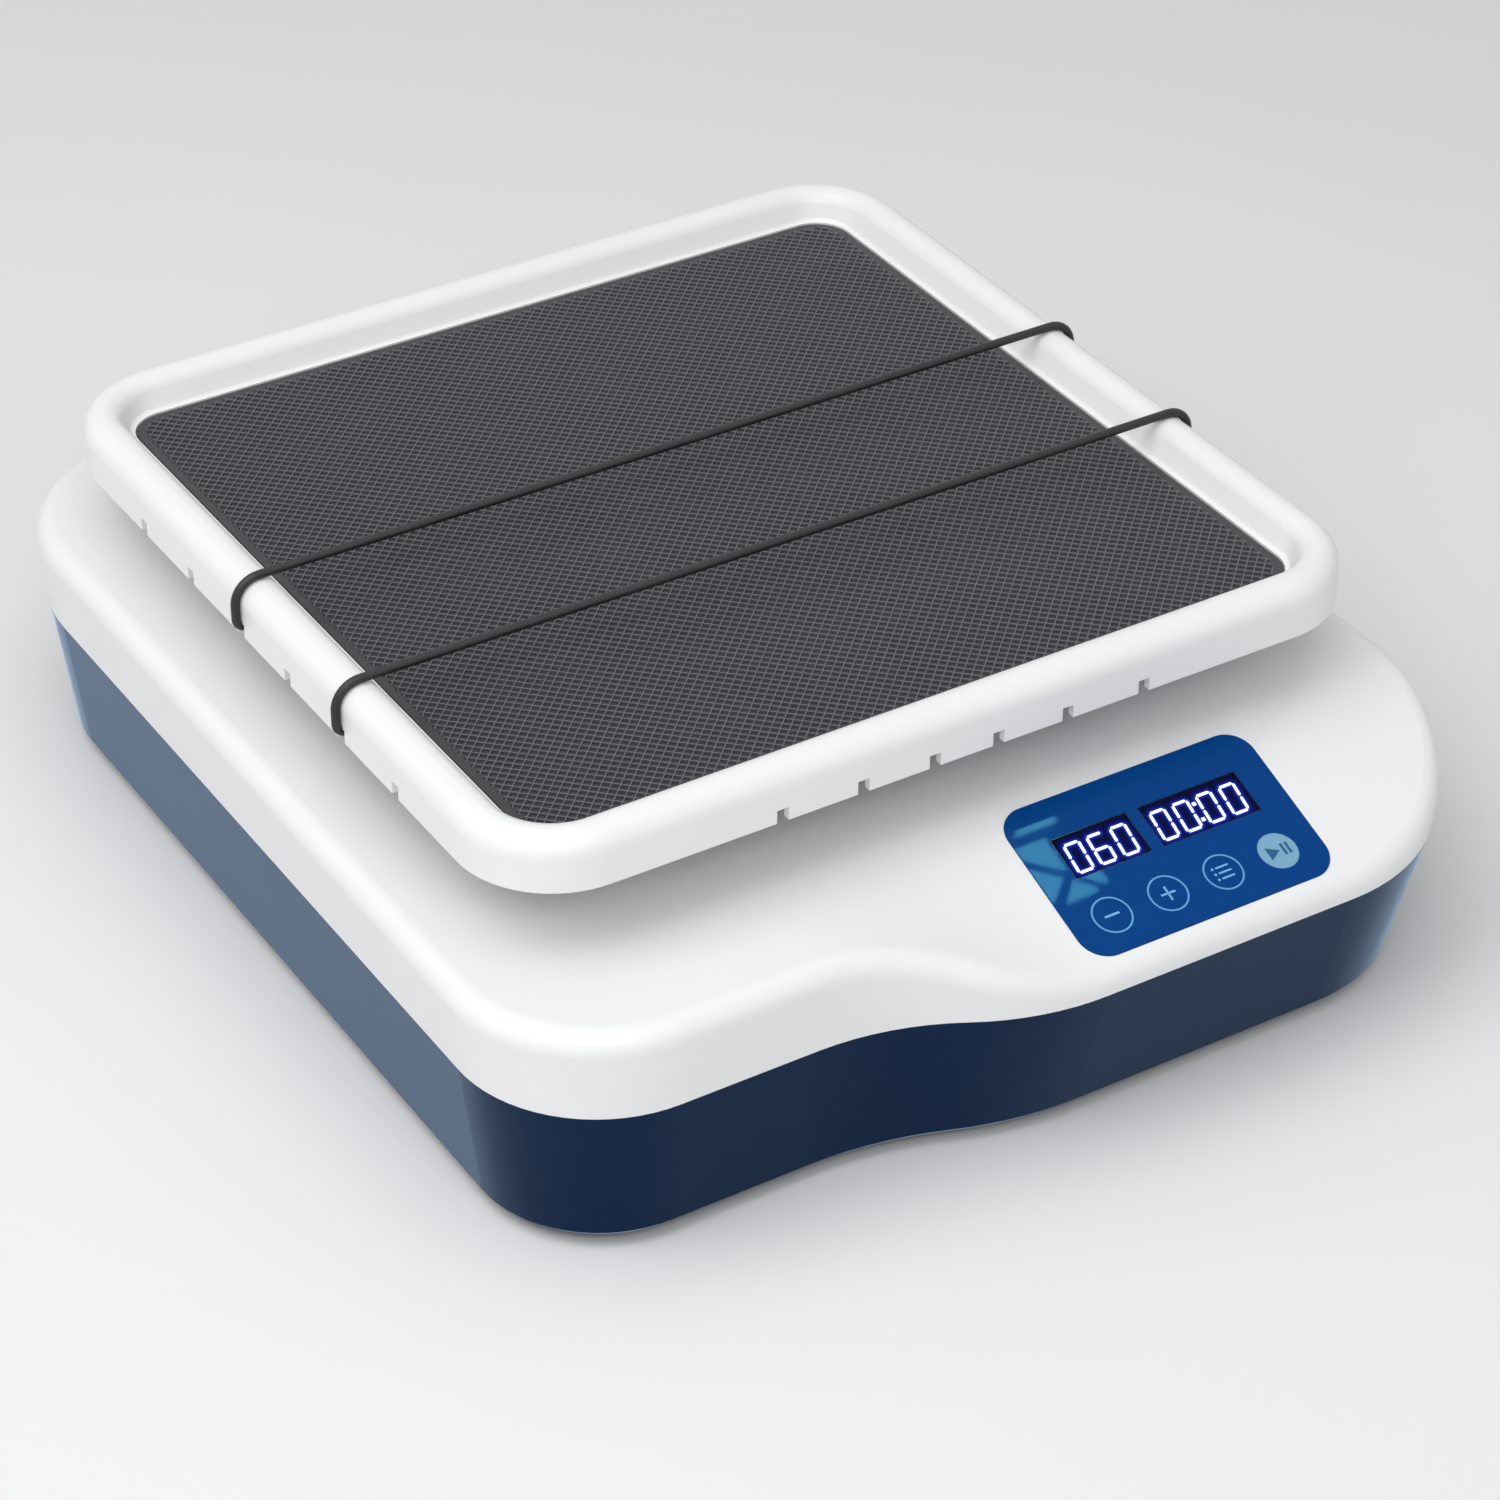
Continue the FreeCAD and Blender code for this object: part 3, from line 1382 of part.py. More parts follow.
def switch_housing():
    """Rocker switch body: front frame, box behind it, open front and two pivot holes."""
    half_x = rocker_frame_width / 2
    half_y = rocker_frame_height / 2
    frame = slab(round_rectangle(rocker_frame_width, rocker_frame_height, rocker_frame_radius),
                 rocker_frame_thickness)
    body = box(-half_x + rocker_body_margin, half_x - rocker_body_margin, -half_y + rocker_body_margin,
               half_y - rocker_body_margin, -rocker_body_depth, rocker_frame_thickness)
    width, height = rocker_cavity()
    cavity = box(-width / 2, width / 2, -height / 2, height / 2,
                 rocker_frame_thickness - rocker_cavity_depth - rocker_depth, rocker_frame_thickness + 1)
    lugs = [block_on(side * rocker_lug_spacing[0] / 2, end * rocker_lug_spacing[1] / 2, rocker_lug,
                     -rocker_body_depth - rocker_lug[2])
            for side in (-1, 1) for end in (-1, 1)]
    reach_x = width / 2 + rocker_pin_length
    bore = rod_along_x(rocker_pin_diameter + 2 * rocker_pin_gap, -reach_x, reach_x, 0, rocker_pivot_lift)
    return on_recess(join([frame, body] + lugs).cut([cavity, bore]), switch_x)


def switch_rocker():
    """The rocker: rounded ends about its pivot, a shallow V front and two pivot pins."""
    width, height = rocker_cavity()
    half_x = width / 2 - rocker_side_gap
    radius = height / 2 - rocker_end_gap
    drum = rod_along_x(2 * radius, -half_x, half_x, 0, rocker_pivot_lift)
    low = rocker_pivot_lift - rocker_depth
    ring = [(-radius, low), (radius, low), (radius, rocker_pivot_lift + rocker_tip_height),
            (0, rocker_pivot_lift + rocker_middle_height),
            (-radius, rocker_pivot_lift + rocker_tip_height)]
    points = [Vector(-half_x, a, b) for a, b in ring]
    front = Part.Face(Part.makePolygon(points + points[:1])).extrude(Vector(2 * half_x, 0, 0))
    pin_reach = width / 2 + rocker_pin_length - rocker_pin_gap
    pin = rod_along_x(rocker_pin_diameter, -pin_reach, pin_reach, 0, rocker_pivot_lift)
    made = join([drum.common(front), pin])
    made.rotate(Vector(0, 0, rocker_pivot_lift), Vector(1, 0, 0), rocker_tilt)
    return on_recess(made, switch_x)


def all_nodes():
    """Every node's name with its shape."""
    nodes = {
        "base_tub": base_tub(), "top_cover": top_cover(), "rubber_feet": rubber_feet(),
        "foot_screws": foot_screws(), "cover_screws": cover_screws(),
        "chassis_plate": chassis_plate(), "chassis_screws": chassis_screws(),
        "guide_rods": guide_rods(), "rod_supports": rod_supports(),
        "support_screws": support_screws(), "bearing_blocks": bearing_blocks(),
        "linear_bushings": linear_bushings(), "block_screws": block_screws(),
        "carriage_plate": carriage_plate(), "drive_yoke": drive_yoke(), "yoke_screws": yoke_screws(),
        "tray_posts": tray_posts(), "post_screws": post_screws(), "post_grommets": post_grommets(),
        "tray": tray(), "tray_screws": tray_screws(), "mat": mat(),
        "motor_bridge": motor_bridge(), "bridge_screws": bridge_screws(),
        "drive_motor": drive_motor(), "motor_screws": motor_screws(), "motor_shaft": motor_shaft(),
        "crank_hub": crank_hub(), "crank_grub_screw": crank_grub_screw(),
        "crank_roller": crank_roller(), "roller_circlip": journal_circlip(),
        "control_panel": control_panel(), "display_board": display_board(),
        "board_screws": board_screws(), "key_switches": key_switches(),
        "speed_display": display(speed_window_left, speed_window_width),
        "timer_display": display(timer_window_left, timer_window_width),
        "power_supply": power_supply(), "drive_board": drive_board(),
        "circuit_screws": circuit_screws(), "power_inlet": power_inlet(),
        "inlet_screws": inlet_screws(), "switch_housing": switch_housing(),
        "switch_rocker": switch_rocker(),
    }
    for name, (x, y) in zip(key_names, key_centres()):
        nodes["key_" + name] = panel_key(x, y)
    for name, offset in zip(("band_rear", "band_front"), band_offsets):
        nodes[name] = band(tray_centre_y + offset)
    return nodes


def main():
    os.makedirs("parts", exist_ok=True)
    for name, shape in all_nodes().items():
        shape.exportStep("parts/" + name + ".step")
        print(name, "valid" if shape.isValid() else "NOT VALID", len(shape.Solids), "solids")


main()
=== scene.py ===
"""Looks of a bench-top linear shaker, built round its packed construction model.

The construction model brings every rigid piece. This file gives each of them a finish, lays the
ridged mat in the tray, prints the control panel, lights its digits, and sets the light and camera.
All lengths are metres unless a name says otherwise.
"""

import json
import logging
import math
from dataclasses import dataclass, field
from enum import Enum
from typing import Sequence

import bpy
import numpy as np
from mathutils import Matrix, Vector


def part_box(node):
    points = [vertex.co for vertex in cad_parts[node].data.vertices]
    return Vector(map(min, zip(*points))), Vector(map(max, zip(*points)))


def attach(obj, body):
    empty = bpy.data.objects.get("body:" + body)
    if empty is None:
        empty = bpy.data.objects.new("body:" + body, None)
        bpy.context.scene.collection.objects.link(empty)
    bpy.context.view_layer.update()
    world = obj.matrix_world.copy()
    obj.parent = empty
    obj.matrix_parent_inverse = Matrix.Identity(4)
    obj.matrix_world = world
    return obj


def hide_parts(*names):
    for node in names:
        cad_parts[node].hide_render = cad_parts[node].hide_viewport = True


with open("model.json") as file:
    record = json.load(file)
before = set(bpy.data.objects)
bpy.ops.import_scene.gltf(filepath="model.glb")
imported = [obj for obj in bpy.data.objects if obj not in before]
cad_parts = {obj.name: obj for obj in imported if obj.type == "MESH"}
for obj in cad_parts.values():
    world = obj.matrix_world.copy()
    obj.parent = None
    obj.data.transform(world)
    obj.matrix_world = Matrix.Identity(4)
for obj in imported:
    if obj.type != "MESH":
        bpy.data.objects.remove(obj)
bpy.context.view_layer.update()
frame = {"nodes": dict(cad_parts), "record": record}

MM = 0.001
Colour = tuple[float, float, float]
Triple = tuple[float, float, float]
Span = tuple[float, float]
Rows = tuple[tuple[float, ...], ...]
Faces = Sequence[Sequence[int]] | np.ndarray
Shape = tuple[np.ndarray, list[list[int]]]
Socket = bpy.types.NodeSocket
Material = bpy.types.Material

logging.basicConfig(level=logging.INFO, format="%(name)s: %(message)s")
LOG = logging.getLogger("shaker")


class Body(str, Enum):
    """Names of the moving bodies that pieces ride on."""

    BASE = "base"
    PLATFORM = "platform"
    MINUS = "minus_key"
    PLUS = "plus_key"
    MODE = "mode_key"
    START = "start_key"


class Slot(str, Enum):
    """Names of the record's material slots that new pieces take their finish from."""

    MAT = "mat_rubber"
    PANEL = "panel_blue"
    DISPLAY = "display_black"
    KEY = "key_blue"
    KEY_PALE = "key_pale"


# Meshes


def node_points(name: str) -> np.ndarray:
    """The points of a construction node's mesh, shape (n, 3), in metres."""
    mesh = frame["nodes"][name].data
    flat = np.empty(len(mesh.vertices) * 3, np.float32)
    mesh.vertices.foreach_get("co", flat)
    return flat.reshape(-1, 3).astype(float)


def new_object(name: str, points: np.ndarray, faces: Faces, material: Material) -> bpy.types.Object:
    """Put worked-out points and faces into a new object of the scene.

    Args:
        name: the object's name.
        points: array of shape (n, 3), in metres, in the part's own frame.
        faces: rows of point numbers, outward by the right-hand rule.
        material: the finish.

    Returns:
        The new object.
    """
    mesh = bpy.data.meshes.new(name)
    rows = faces.tolist() if isinstance(faces, np.ndarray) else [list(face) for face in faces]
    mesh.from_pydata(points.astype(float).tolist(), [], rows)
    mesh.update()
    mesh.materials.append(material)
    thing = bpy.data.objects.new(name, mesh)
    bpy.context.scene.collection.objects.link(thing)
    return thing


def make_piece(
    name: str,
    points: np.ndarray,
    faces: Faces,
    material: Material,
    body: Body,
    smooth: bool = False,
) -> bpy.types.Object:
    """Make a new piece that rides on a body.

    Args:
        name, points, faces, material: as for any new object.
        body: the body it moves with.
        smooth: True for rounded surfaces.

    Returns:
        The new object.
    """
    piece = new_object(name, points, faces, material)
    count = len(piece.data.polygons)
    if smooth:
        piece.data.polygons.foreach_set("use_smooth", np.ones(count, bool))
    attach(piece, body.value)
    LOG.info("%s: %d faces on %s", name, count, body.value)
    return piece


def add_point_values(piece: bpy.types.Object, name: str, values: np.ndarray) -> None:
    """Store one number for each point of a piece under a name, for its material to read."""
    layer = piece.data.attributes.new(name, "FLOAT", "POINT")
    layer.data.foreach_set("value", values.astype(np.float32))


def joined(parts: Sequence[Shape]) -> Shape:
    """Several meshes as one, with the later ones' point numbers moved up.

    Args:
        parts: points and faces of each mesh.

    Returns:
        Points and faces.
    """
    faces: list[list[int]] = []
    start = 0
    for points, rows in parts:
        faces += [[index + start for index in row] for row in rows]
        start += len(points)
    return np.concatenate([points for points, _ in parts]), faces


def rounded_square(half: float, radius: float, steps: int = 10) -> np.ndarray:
    """Outline of a square with round corners, counter-clockwise from the right of the top corner.

    Each corner is a quarter circle of the radius about (half - radius) along both axes, and the
    straight sides are the lines between one quarter's end and the next one's start.

    Args:
        half: half of the side.
        radius: of each corner.
        steps: spans in each quarter circle.

    Returns:
        Array of shape (4 * (steps + 1), 2).
    """
    turn = np.linspace(0.0, math.pi / 2, steps + 1)
    angle = (turn[None, :] + (np.arange(4) * math.pi / 2)[:, None]).ravel()
    corners = np.array([[1, 1], [-1, 1], [-1, -1], [1, -1]], float)
    centre = np.repeat(corners * (half - radius), steps + 1, 0)
    return centre + radius * np.stack([np.cos(angle), np.sin(angle)], 1)


def stacked_rings(rings: np.ndarray) -> list[list[int]]:
    """Faces that join each ring of points to the next one up, with both ends capped.

    Point j of ring i has the number i * n + j, so a side face is the four points j and j + 1 of
    rings i and i + 1, taken so that it faces out when the rings run counter-clockwise upwards.

    Args:
        rings: array of shape (levels, n, 3).

    Returns:
        Rows of point numbers.
    """
    levels, count = rings.shape[:2]
    here = np.arange(count)
    there = (here + 1) % count
    base = (np.arange(levels - 1) * count)[:, None]
    quads = np.stack([base + here, base + there, base + count + there, base + count + here], -1)
    bottom = here[::-1].tolist()
    top = ((levels - 1) * count + here).tolist()
    return quads.reshape(-1, 4).tolist() + [bottom, top]


def prisms(polygons: np.ndarray, low: float, high: float) -> Shape:
    """Upright closed prisms on flat polygons that all have the same number of corners.

    Args:
        polygons: array of shape (n, corners, 2), counter-clockwise.
        low: height of the undersides.
        high: height of the tops.

    Returns:
        The points, shape (n * 2 * corners, 3), and the faces.
    """
    count, corners = polygons.shape[:2]
    flat = np.repeat(polygons[:, None], 2, 1)
    heights = np.broadcast_to(np.array([low, high])[None, :, None, None], (count, 2, corners, 1))
    points = np.concatenate([flat, heights], -1).reshape(-1, 3)
    here = np.arange(corners)
    there = (here + 1) % corners
    side = np.stack([here, there, corners + there, corners + here], -1)
    start = (np.arange(count) * 2 * corners)[:, None, None]
    faces = (start + side[None]).reshape(-1, 4).tolist()
    faces += (start[:, 0] + here[::-1][None]).tolist()
    faces += (start[:, 0] + corners + here[None]).tolist()
    return points, faces


# Finishes


class NodeBench:
    """A fresh node material with short calls for its nodes and links."""

    NOISE_LOW, NOISE_HIGH = 0.3, 0.7
    MIX_FIRST, MIX_SECOND, MIX_RESULT = 6, 7, 2  # the colour sockets of a mix node

    def __init__(self, name: str) -> None:
        """Start a material whose only nodes are the shader and the output."""
        self.material = bpy.data.materials.new(name)
        self.material.use_nodes = True
        self.tree = self.material.node_tree
        self.shader = next(n for n in self.tree.nodes if n.type == "BSDF_PRINCIPLED")

    def add(self, kind: str, **settings: object) -> bpy.types.Node:
        """Add a node and set its plain properties."""
        node = self.tree.nodes.new(kind)
        for key, value in settings.items():
            setattr(node, key, value)
        return node

    def link(self, source: Socket, target: Socket) -> None:
        """Join an output to an input."""
        self.tree.links.new(source, target)

    def feed(self, **sources: Socket) -> None:
        """Join outputs to sockets of the shader by name, with spaces written as underscores."""
        for key, source in sources.items():
            self.link(source, self.shader.inputs[key.replace("_", " ")])

    @staticmethod
    def fill(node: bpy.types.Node, **values: object) -> None:
        """Set a node's sockets by name, with spaces written as underscores."""
        for key, value in values.items():
            node.inputs[key.replace("_", " ")].default_value = value

    def set(self, **values: object) -> None:
        """Set sockets of the shader by name, with spaces written as underscores."""
        self.fill(self.shader, **values)

    def place(self, scale: Sequence[float] = (1.0, 1.0, 1.0)) -> Socket:
        """Object coordinates, stretched for a pattern."""
        coordinates = self.add("ShaderNodeTexCoord")
        mapping = self.add("ShaderNodeMapping")
        self.fill(mapping, Scale=scale)
        self.link(coordinates.outputs["Object"], mapping.inputs["Vector"])
        return mapping.outputs["Vector"]

    def noise(self, where: Socket, scale: float, detail: float = 3.0) -> Socket:
        """Fractal noise; scale is cells per metre."""
        node = self.add("ShaderNodeTexNoise")
        self.fill(node, Scale=scale, Detail=detail)
        self.link(where, node.inputs["Vector"])
        return node.outputs["Fac"]

    def ramp(
        self, value: Socket, low: Colour, high: Colour, start: float = NOISE_LOW, end: float = NOISE_HIGH
    ) -> Socket:
        """Blend two colours as the value goes from start to end."""
        node = self.add("ShaderNodeValToRGB")
        first, last = node.color_ramp.elements
        first.position, last.position = start, end
        first.color = (*low, 1.0)
        last.color = (*high, 1.0)
        self.link(value, node.inputs["Fac"])
        return node.outputs["Color"]

    def span(self, value: Socket, low: float, high: float) -> Socket:
        """Map the range that most noise lies in onto low to high."""
        node = self.add("ShaderNodeMapRange")
        self.fill(node, From_Min=self.NOISE_LOW, From_Max=self.NOISE_HIGH, To_Min=low, To_Max=high)
        self.link(value, node.inputs["Value"])
        return node.outputs["Result"]

    def bump(self, value: Socket, depth: float, strength: float = 0.5) -> Socket:
        """Relief of the given depth in metres."""
        node = self.add("ShaderNodeBump")
        self.fill(node, Strength=strength, Distance=depth)
        self.link(value, node.inputs["Height"])
        return node.outputs["Normal"]

    def point_value(self, name: str) -> Socket:
        """The number that the mesh holds for each of its points under a name."""
        node = self.add("ShaderNodeAttribute", attribute_type="GEOMETRY", attribute_name=name)
        return node.outputs["Fac"]

    def covered(self, under: Socket, over: Colour, share: Socket, sharpness: float) -> Socket:
        """A colour that takes over from another as the share, raised to a power, goes to 1."""
        power = self.add("ShaderNodeMath", operation="POWER")
        power.inputs[1].default_value = sharpness
        self.link(share, power.inputs[0])
        mix = self.add("ShaderNodeMix", data_type="RGBA")
        mix.inputs[self.MIX_SECOND].default_value = (*over, 1.0)
        self.link(power.outputs["Value"], mix.inputs["Factor"])
        self.link(under, mix.inputs[self.MIX_FIRST])
        return mix.outputs[self.MIX_RESULT]


def shade(colour: Colour, share: float) -> Colour:
    """The colour with its light scaled by a share."""
    return tuple(min(1.0, channel * share) for channel in colour)


@dataclass(frozen=True)
class MouldedPlastic:
    """Injection-moulded plastic: faint flow clouds, spark-eroded grain and an even gloss."""

    name: str
    colour: Colour
    roughness: Span = (0.28, 0.36)
    cloud: float = 0.02
    clouds_per_metre: float = 22.0
    grain_depth: float = 0.01 * MM
    grain_per_metre: float = 1400.0
    coat: float = 0.0
    coat_roughness: float = 0.12
    gloss: float = 0.5
    sheen: float = 0.0
    sheen_tint: Colour = (1.0, 1.0, 1.0)
    sheen_roughness: float = 0.35

    def build(self) -> Material:
        """Make the material."""
        bench = NodeBench(self.name)
        where = bench.place()
        clouds = bench.noise(where, self.clouds_per_metre, 4.0)
        grain = bench.noise(where, self.grain_per_metre, 2.0)
        darker, lighter = shade(self.colour, 1 - self.cloud), shade(self.colour, 1 + self.cloud)
        bench.feed(Base_Color=bench.ramp(clouds, darker, lighter))
        bench.feed(Roughness=bench.span(grain, *self.roughness))
        bench.feed(Normal=bench.bump(grain, self.grain_depth))
        bench.set(Coat_Weight=self.coat, Coat_Roughness=self.coat_roughness)
        bench.set(Sheen_Weight=self.sheen, Sheen_Roughness=self.sheen_roughness)
        bench.set(Sheen_Tint=(*self.sheen_tint, 1.0), Specular_IOR_Level=self.gloss)
        return bench.material


@dataclass(frozen=True)
class SoftRubber:
    """Rubber: matt, slightly dusty, with a fine pitted skin and, on a ridged mesh, a painted highlight on
    the crests.
    """

    name: str
    colour: Colour
    dust: Colour
    roughness: Span = (0.55, 0.75)
    dust_per_metre: float = 35.0
    pit_depth: float = 0.04 * MM
    pits_per_metre: float = 900.0
    # painted highlight: a lighter colour laid on the ridge tops, and how sharply it keeps to them
    crest_highlight: Colour | None = None
    highlight_sharpness: float = 4.0

    def build(self) -> Material:
        """Make the material."""
        bench = NodeBench(self.name)
        where = bench.place()
        dusting = bench.noise(where, self.dust_per_metre, 5.0)
        pits = bench.noise(where, self.pits_per_metre, 3.0)
        colour = bench.ramp(dusting, self.colour, self.dust, 0.35, 0.75)
        # painted highlight: the ridge tops are lightened where they would catch the light
        if self.crest_highlight is not None:
            crest = bench.point_value("crest")
            colour = bench.covered(colour, self.crest_highlight, crest, self.highlight_sharpness)
        bench.feed(Base_Color=colour)
        bench.feed(Roughness=bench.span(pits, *self.roughness))
        bench.feed(Normal=bench.bump(pits, self.pit_depth))
        bench.set(Sheen_Weight=0.08, Sheen_Roughness=0.5)
        return bench.material


@dataclass(frozen=True)
class CordSkin:
    """Skin of an elastic cord: fine ribs across the black rubber, unevenly worn."""

    name: str
    colour: Colour
    rib_scale: float = 150.0
    rib_depth: float = 0.06 * MM
    wear: float = 1.9
    wear_per_metre: float = 60.0

    def build(self) -> Material:
        """Make the material."""
        bench = NodeBench(self.name)
        where = bench.place()
        ribs = bench.add("ShaderNodeTexWave", wave_type="BANDS", bands_direction="DIAGONAL")
        bench.fill(ribs, Scale=self.rib_scale, Distortion=1.5)
        bench.link(where, ribs.inputs["Vector"])
        worn = bench.noise(where, self.wear_per_metre, 4.0)
        bench.feed(Base_Color=bench.ramp(worn, self.colour, shade(self.colour, self.wear)))
        bench.feed(Roughness=bench.span(worn, 0.42, 0.58))
        bench.feed(Normal=bench.bump(ribs.outputs["Fac"], self.rib_depth, 0.4))
        return bench.material


@dataclass(frozen=True)
class Metal:
    """Worked metal: grain drawn out along one axis, with clouded roughness."""

    name: str
    colour: Colour
    stretch: Triple = (30.0, 900.0, 900.0)
    roughness: Span = (0.22, 0.4)
    relief: float = 0.008 * MM
    clouds_per_metre: float = 30.0

    def build(self) -> Material:
        """Make the material."""
        bench = NodeBench(self.name)
        drawn = bench.noise(bench.place(self.stretch), 1.0)
        clouds = bench.noise(bench.place(), self.clouds_per_metre)
        bench.feed(Base_Color=bench.ramp(clouds, shade(self.colour, 0.9), shade(self.colour, 1.06)))
        bench.feed(Roughness=bench.span(drawn, *self.roughness))
        bench.feed(Normal=bench.bump(drawn, self.relief))
        bench.set(Metallic=1.0)
        return bench.material


@dataclass(frozen=True)
class CircuitBoard:
    """Solder mask over fields of copper that are parted by thin tinned tracks."""

    name: str
    mask: Colour
    track: Colour
    field_scale: float = 110.0
    track_width: float = 0.03
    track_relief: float = 0.03 * MM

    def build(self) -> Material:
        """Make the material."""
        bench = NodeBench(self.name)
        where = bench.place()
        tracks = bench.add("ShaderNodeTexBrick")
        bench.fill(tracks, Scale=self.field_scale, Mortar_Size=self.track_width)
        bench.fill(tracks, Color1=(*self.mask, 1.0), Color2=(*shade(self.mask, 1.35), 1.0))
        bench.fill(tracks, Mortar=(*self.track, 1.0))
        bench.link(where, tracks.inputs["Vector"])
        cloud = bench.noise(where, 120.0)
        bench.feed(Base_Color=tracks.outputs["Color"])
        bench.feed(Roughness=bench.span(cloud, 0.3, 0.5))
        bench.feed(Normal=bench.bump(tracks.outputs["Fac"], self.track_relief))
        return bench.material


@dataclass(frozen=True)
class PrintedFilm:
    """Back-printed polyester film: deep even ink under a clear hard coat with a fine orange peel."""

    name: str
    ink: Colour
    roughness: Span = (0.3, 0.38)
    unevenness: float = 0.03
    peel_depth: float = 0.004 * MM

    def build(self) -> Material:
        """Make the material."""
        bench = NodeBench(self.name)
        where = bench.place()
        ink = bench.noise(where, 240.0, 2.0)
        peel = bench.noise(where, 500.0, 1.0)
        thin, full = shade(self.ink, 1 - self.unevenness), shade(self.ink, 1 + self.unevenness)
        bench.feed(Base_Color=bench.ramp(ink, thin, full))
        bench.feed(Roughness=bench.span(ink, *self.roughness))
        bench.feed(Normal=bench.bump(peel, self.peel_depth, 0.2))
        bench.set(Specular_IOR_Level=0.03, Coat_Weight=0.08, Coat_Roughness=0.02)
        return bench.material


@dataclass(frozen=True)
class GlowField:
    """Black filter with light spread round the digits, read from the mesh's own glow values."""

    name: str
    filter_colour: Colour
    near: Colour
    far: Colour
    far_share: float = 0.42

    def build(self) -> Material:
        """Make the material."""
        bench = NodeBench(self.name)
        spread = bench.point_value("glow")
        ramp = bench.add("ShaderNodeValToRGB")
        ramp.color_ramp.elements[0].color = (0.0, 0.0, 0.0, 1.0)
        ramp.color_ramp.elements[1].color = (*self.near, 1.0)
        middle = ramp.color_ramp.elements.new(self.far_share)
        middle.color = (*self.far, 1.0)
        bench.link(spread, ramp.inputs["Fac"])
        fine = bench.noise(bench.place(), 700.0, 1.0)
        bench.feed(Emission_Color=ramp.outputs["Color"])
        bench.feed(Roughness=bench.span(fine, 0.3, 0.36))
        bench.feed(Base_Color=bench.ramp(fine, self.filter_colour, shade(self.filter_colour, 1.3)))
        bench.set(Emission_Strength=1.0, Specular_IOR_Level=0.04)
        return bench.material


@dataclass(frozen=True)
class LitSegment:
    """A lit display bar: white in the middle with a faint blue cast that varies along it."""

    name: str
    light: Colour
    strength: float

    def build(self) -> Material:
        """Make the material."""
        bench = NodeBench(self.name)
        uneven = bench.noise(bench.place(), 600.0, 1.0)
        bench.feed(Emission_Color=bench.ramp(uneven, shade(self.light, 0.94), self.light))
        bench.feed(Roughness=bench.span(uneven, 0.3, 0.4))
        bench.set(Base_Color=(*self.light, 1.0), Emission_Strength=self.strength)
        return bench.material


FILM_BLUE: Colour = (0.0, 0.049, 0.225)

FINISHES: tuple = (
    MouldedPlastic(
        "cover_white", (0.84, 0.845, 0.85), roughness=(0.32, 0.4), cloud=0.008,
        grain_depth=0.012 * MM, grain_per_metre=1500.0,
    ),
    MouldedPlastic(
        "tub_navy", (0.0025, 0.0155, 0.052), roughness=(0.34, 0.42), cloud=0.05,
        grain_depth=0.015 * MM, grain_per_metre=1300.0, gloss=0.04,
        sheen=1.0, sheen_tint=(0.52, 0.74, 1.0), sheen_roughness=0.3,
    ),
    MouldedPlastic("tray_white", (0.85, 0.853, 0.856), (0.3, 0.38), cloud=0.008, grain_per_metre=1500.0),
    # the mat's crest colour is a painted highlight on its ridge tops
    SoftRubber(
        "mat_rubber", (0.014, 0.0145, 0.017), dust=(0.02, 0.021, 0.024), roughness=(0.34, 0.46),
        pit_depth=0.03 * MM, pits_per_metre=1500.0, crest_highlight=(0.11, 0.115, 0.13),
    ),
    CordSkin("band_rubber", (0.008, 0.008, 0.009)),
    SoftRubber("grommet_rubber", (0.02, 0.02, 0.022), dust=(0.035, 0.035, 0.038)),
    SoftRubber("foot_rubber", (0.014, 0.014, 0.015), dust=(0.03, 0.03, 0.03)),
    PrintedFilm("panel_blue", FILM_BLUE),
    MouldedPlastic(
        "display_black", (0.004, 0.004, 0.006), roughness=(0.1, 0.16), cloud=0.2,
        grain_depth=0.004 * MM, grain_per_metre=600.0, coat=0.2,
    ),
    PrintedFilm("key_blue", FILM_BLUE),
    PrintedFilm("key_pale", (0.2, 0.4, 0.56)),
    CircuitBoard("circuit_green", mask=(0.012, 0.085, 0.035), track=(0.05, 0.2, 0.08)),
    MouldedPlastic(
        "switch_black", (0.012, 0.012, 0.013), roughness=(0.3, 0.42), cloud=0.1,
        grain_depth=0.02 * MM, grain_per_metre=1800.0,
    ),
    Metal("ground_steel", (0.55, 0.56, 0.58), stretch=(900.0, 900.0, 60.0), roughness=(0.1, 0.2)),
    Metal("screw_steel", (0.48, 0.48, 0.5), stretch=(200.0, 200.0, 900.0), roughness=(0.25, 0.4)),
    Metal("bushing_steel", (0.42, 0.43, 0.45), stretch=(60.0, 900.0, 900.0), roughness=(0.12, 0.25)),
    Metal("plate_aluminium", (0.66, 0.67, 0.69), stretch=(30.0, 1100.0, 1100.0), roughness=(0.3, 0.45)),
    Metal("block_aluminium", (0.6, 0.61, 0.63), stretch=(900.0, 60.0, 900.0), roughness=(0.32, 0.46)),
    MouldedPlastic(
        "bridge_steel", (0.28, 0.29, 0.3), roughness=(0.4, 0.55), cloud=0.04,
        grain_depth=0.04 * MM, grain_per_metre=900.0,
    ),
    MouldedPlastic(
        "motor_can", (0.03, 0.032, 0.035), roughness=(0.35, 0.5), cloud=0.08,
        grain_depth=0.03 * MM, grain_per_metre=700.0,
    ),
    MouldedPlastic(
        "yoke_polymer", (0.7, 0.68, 0.62), roughness=(0.4, 0.5), cloud=0.03,
        grain_depth=0.02 * MM, grain_per_metre=800.0,
    ),
)


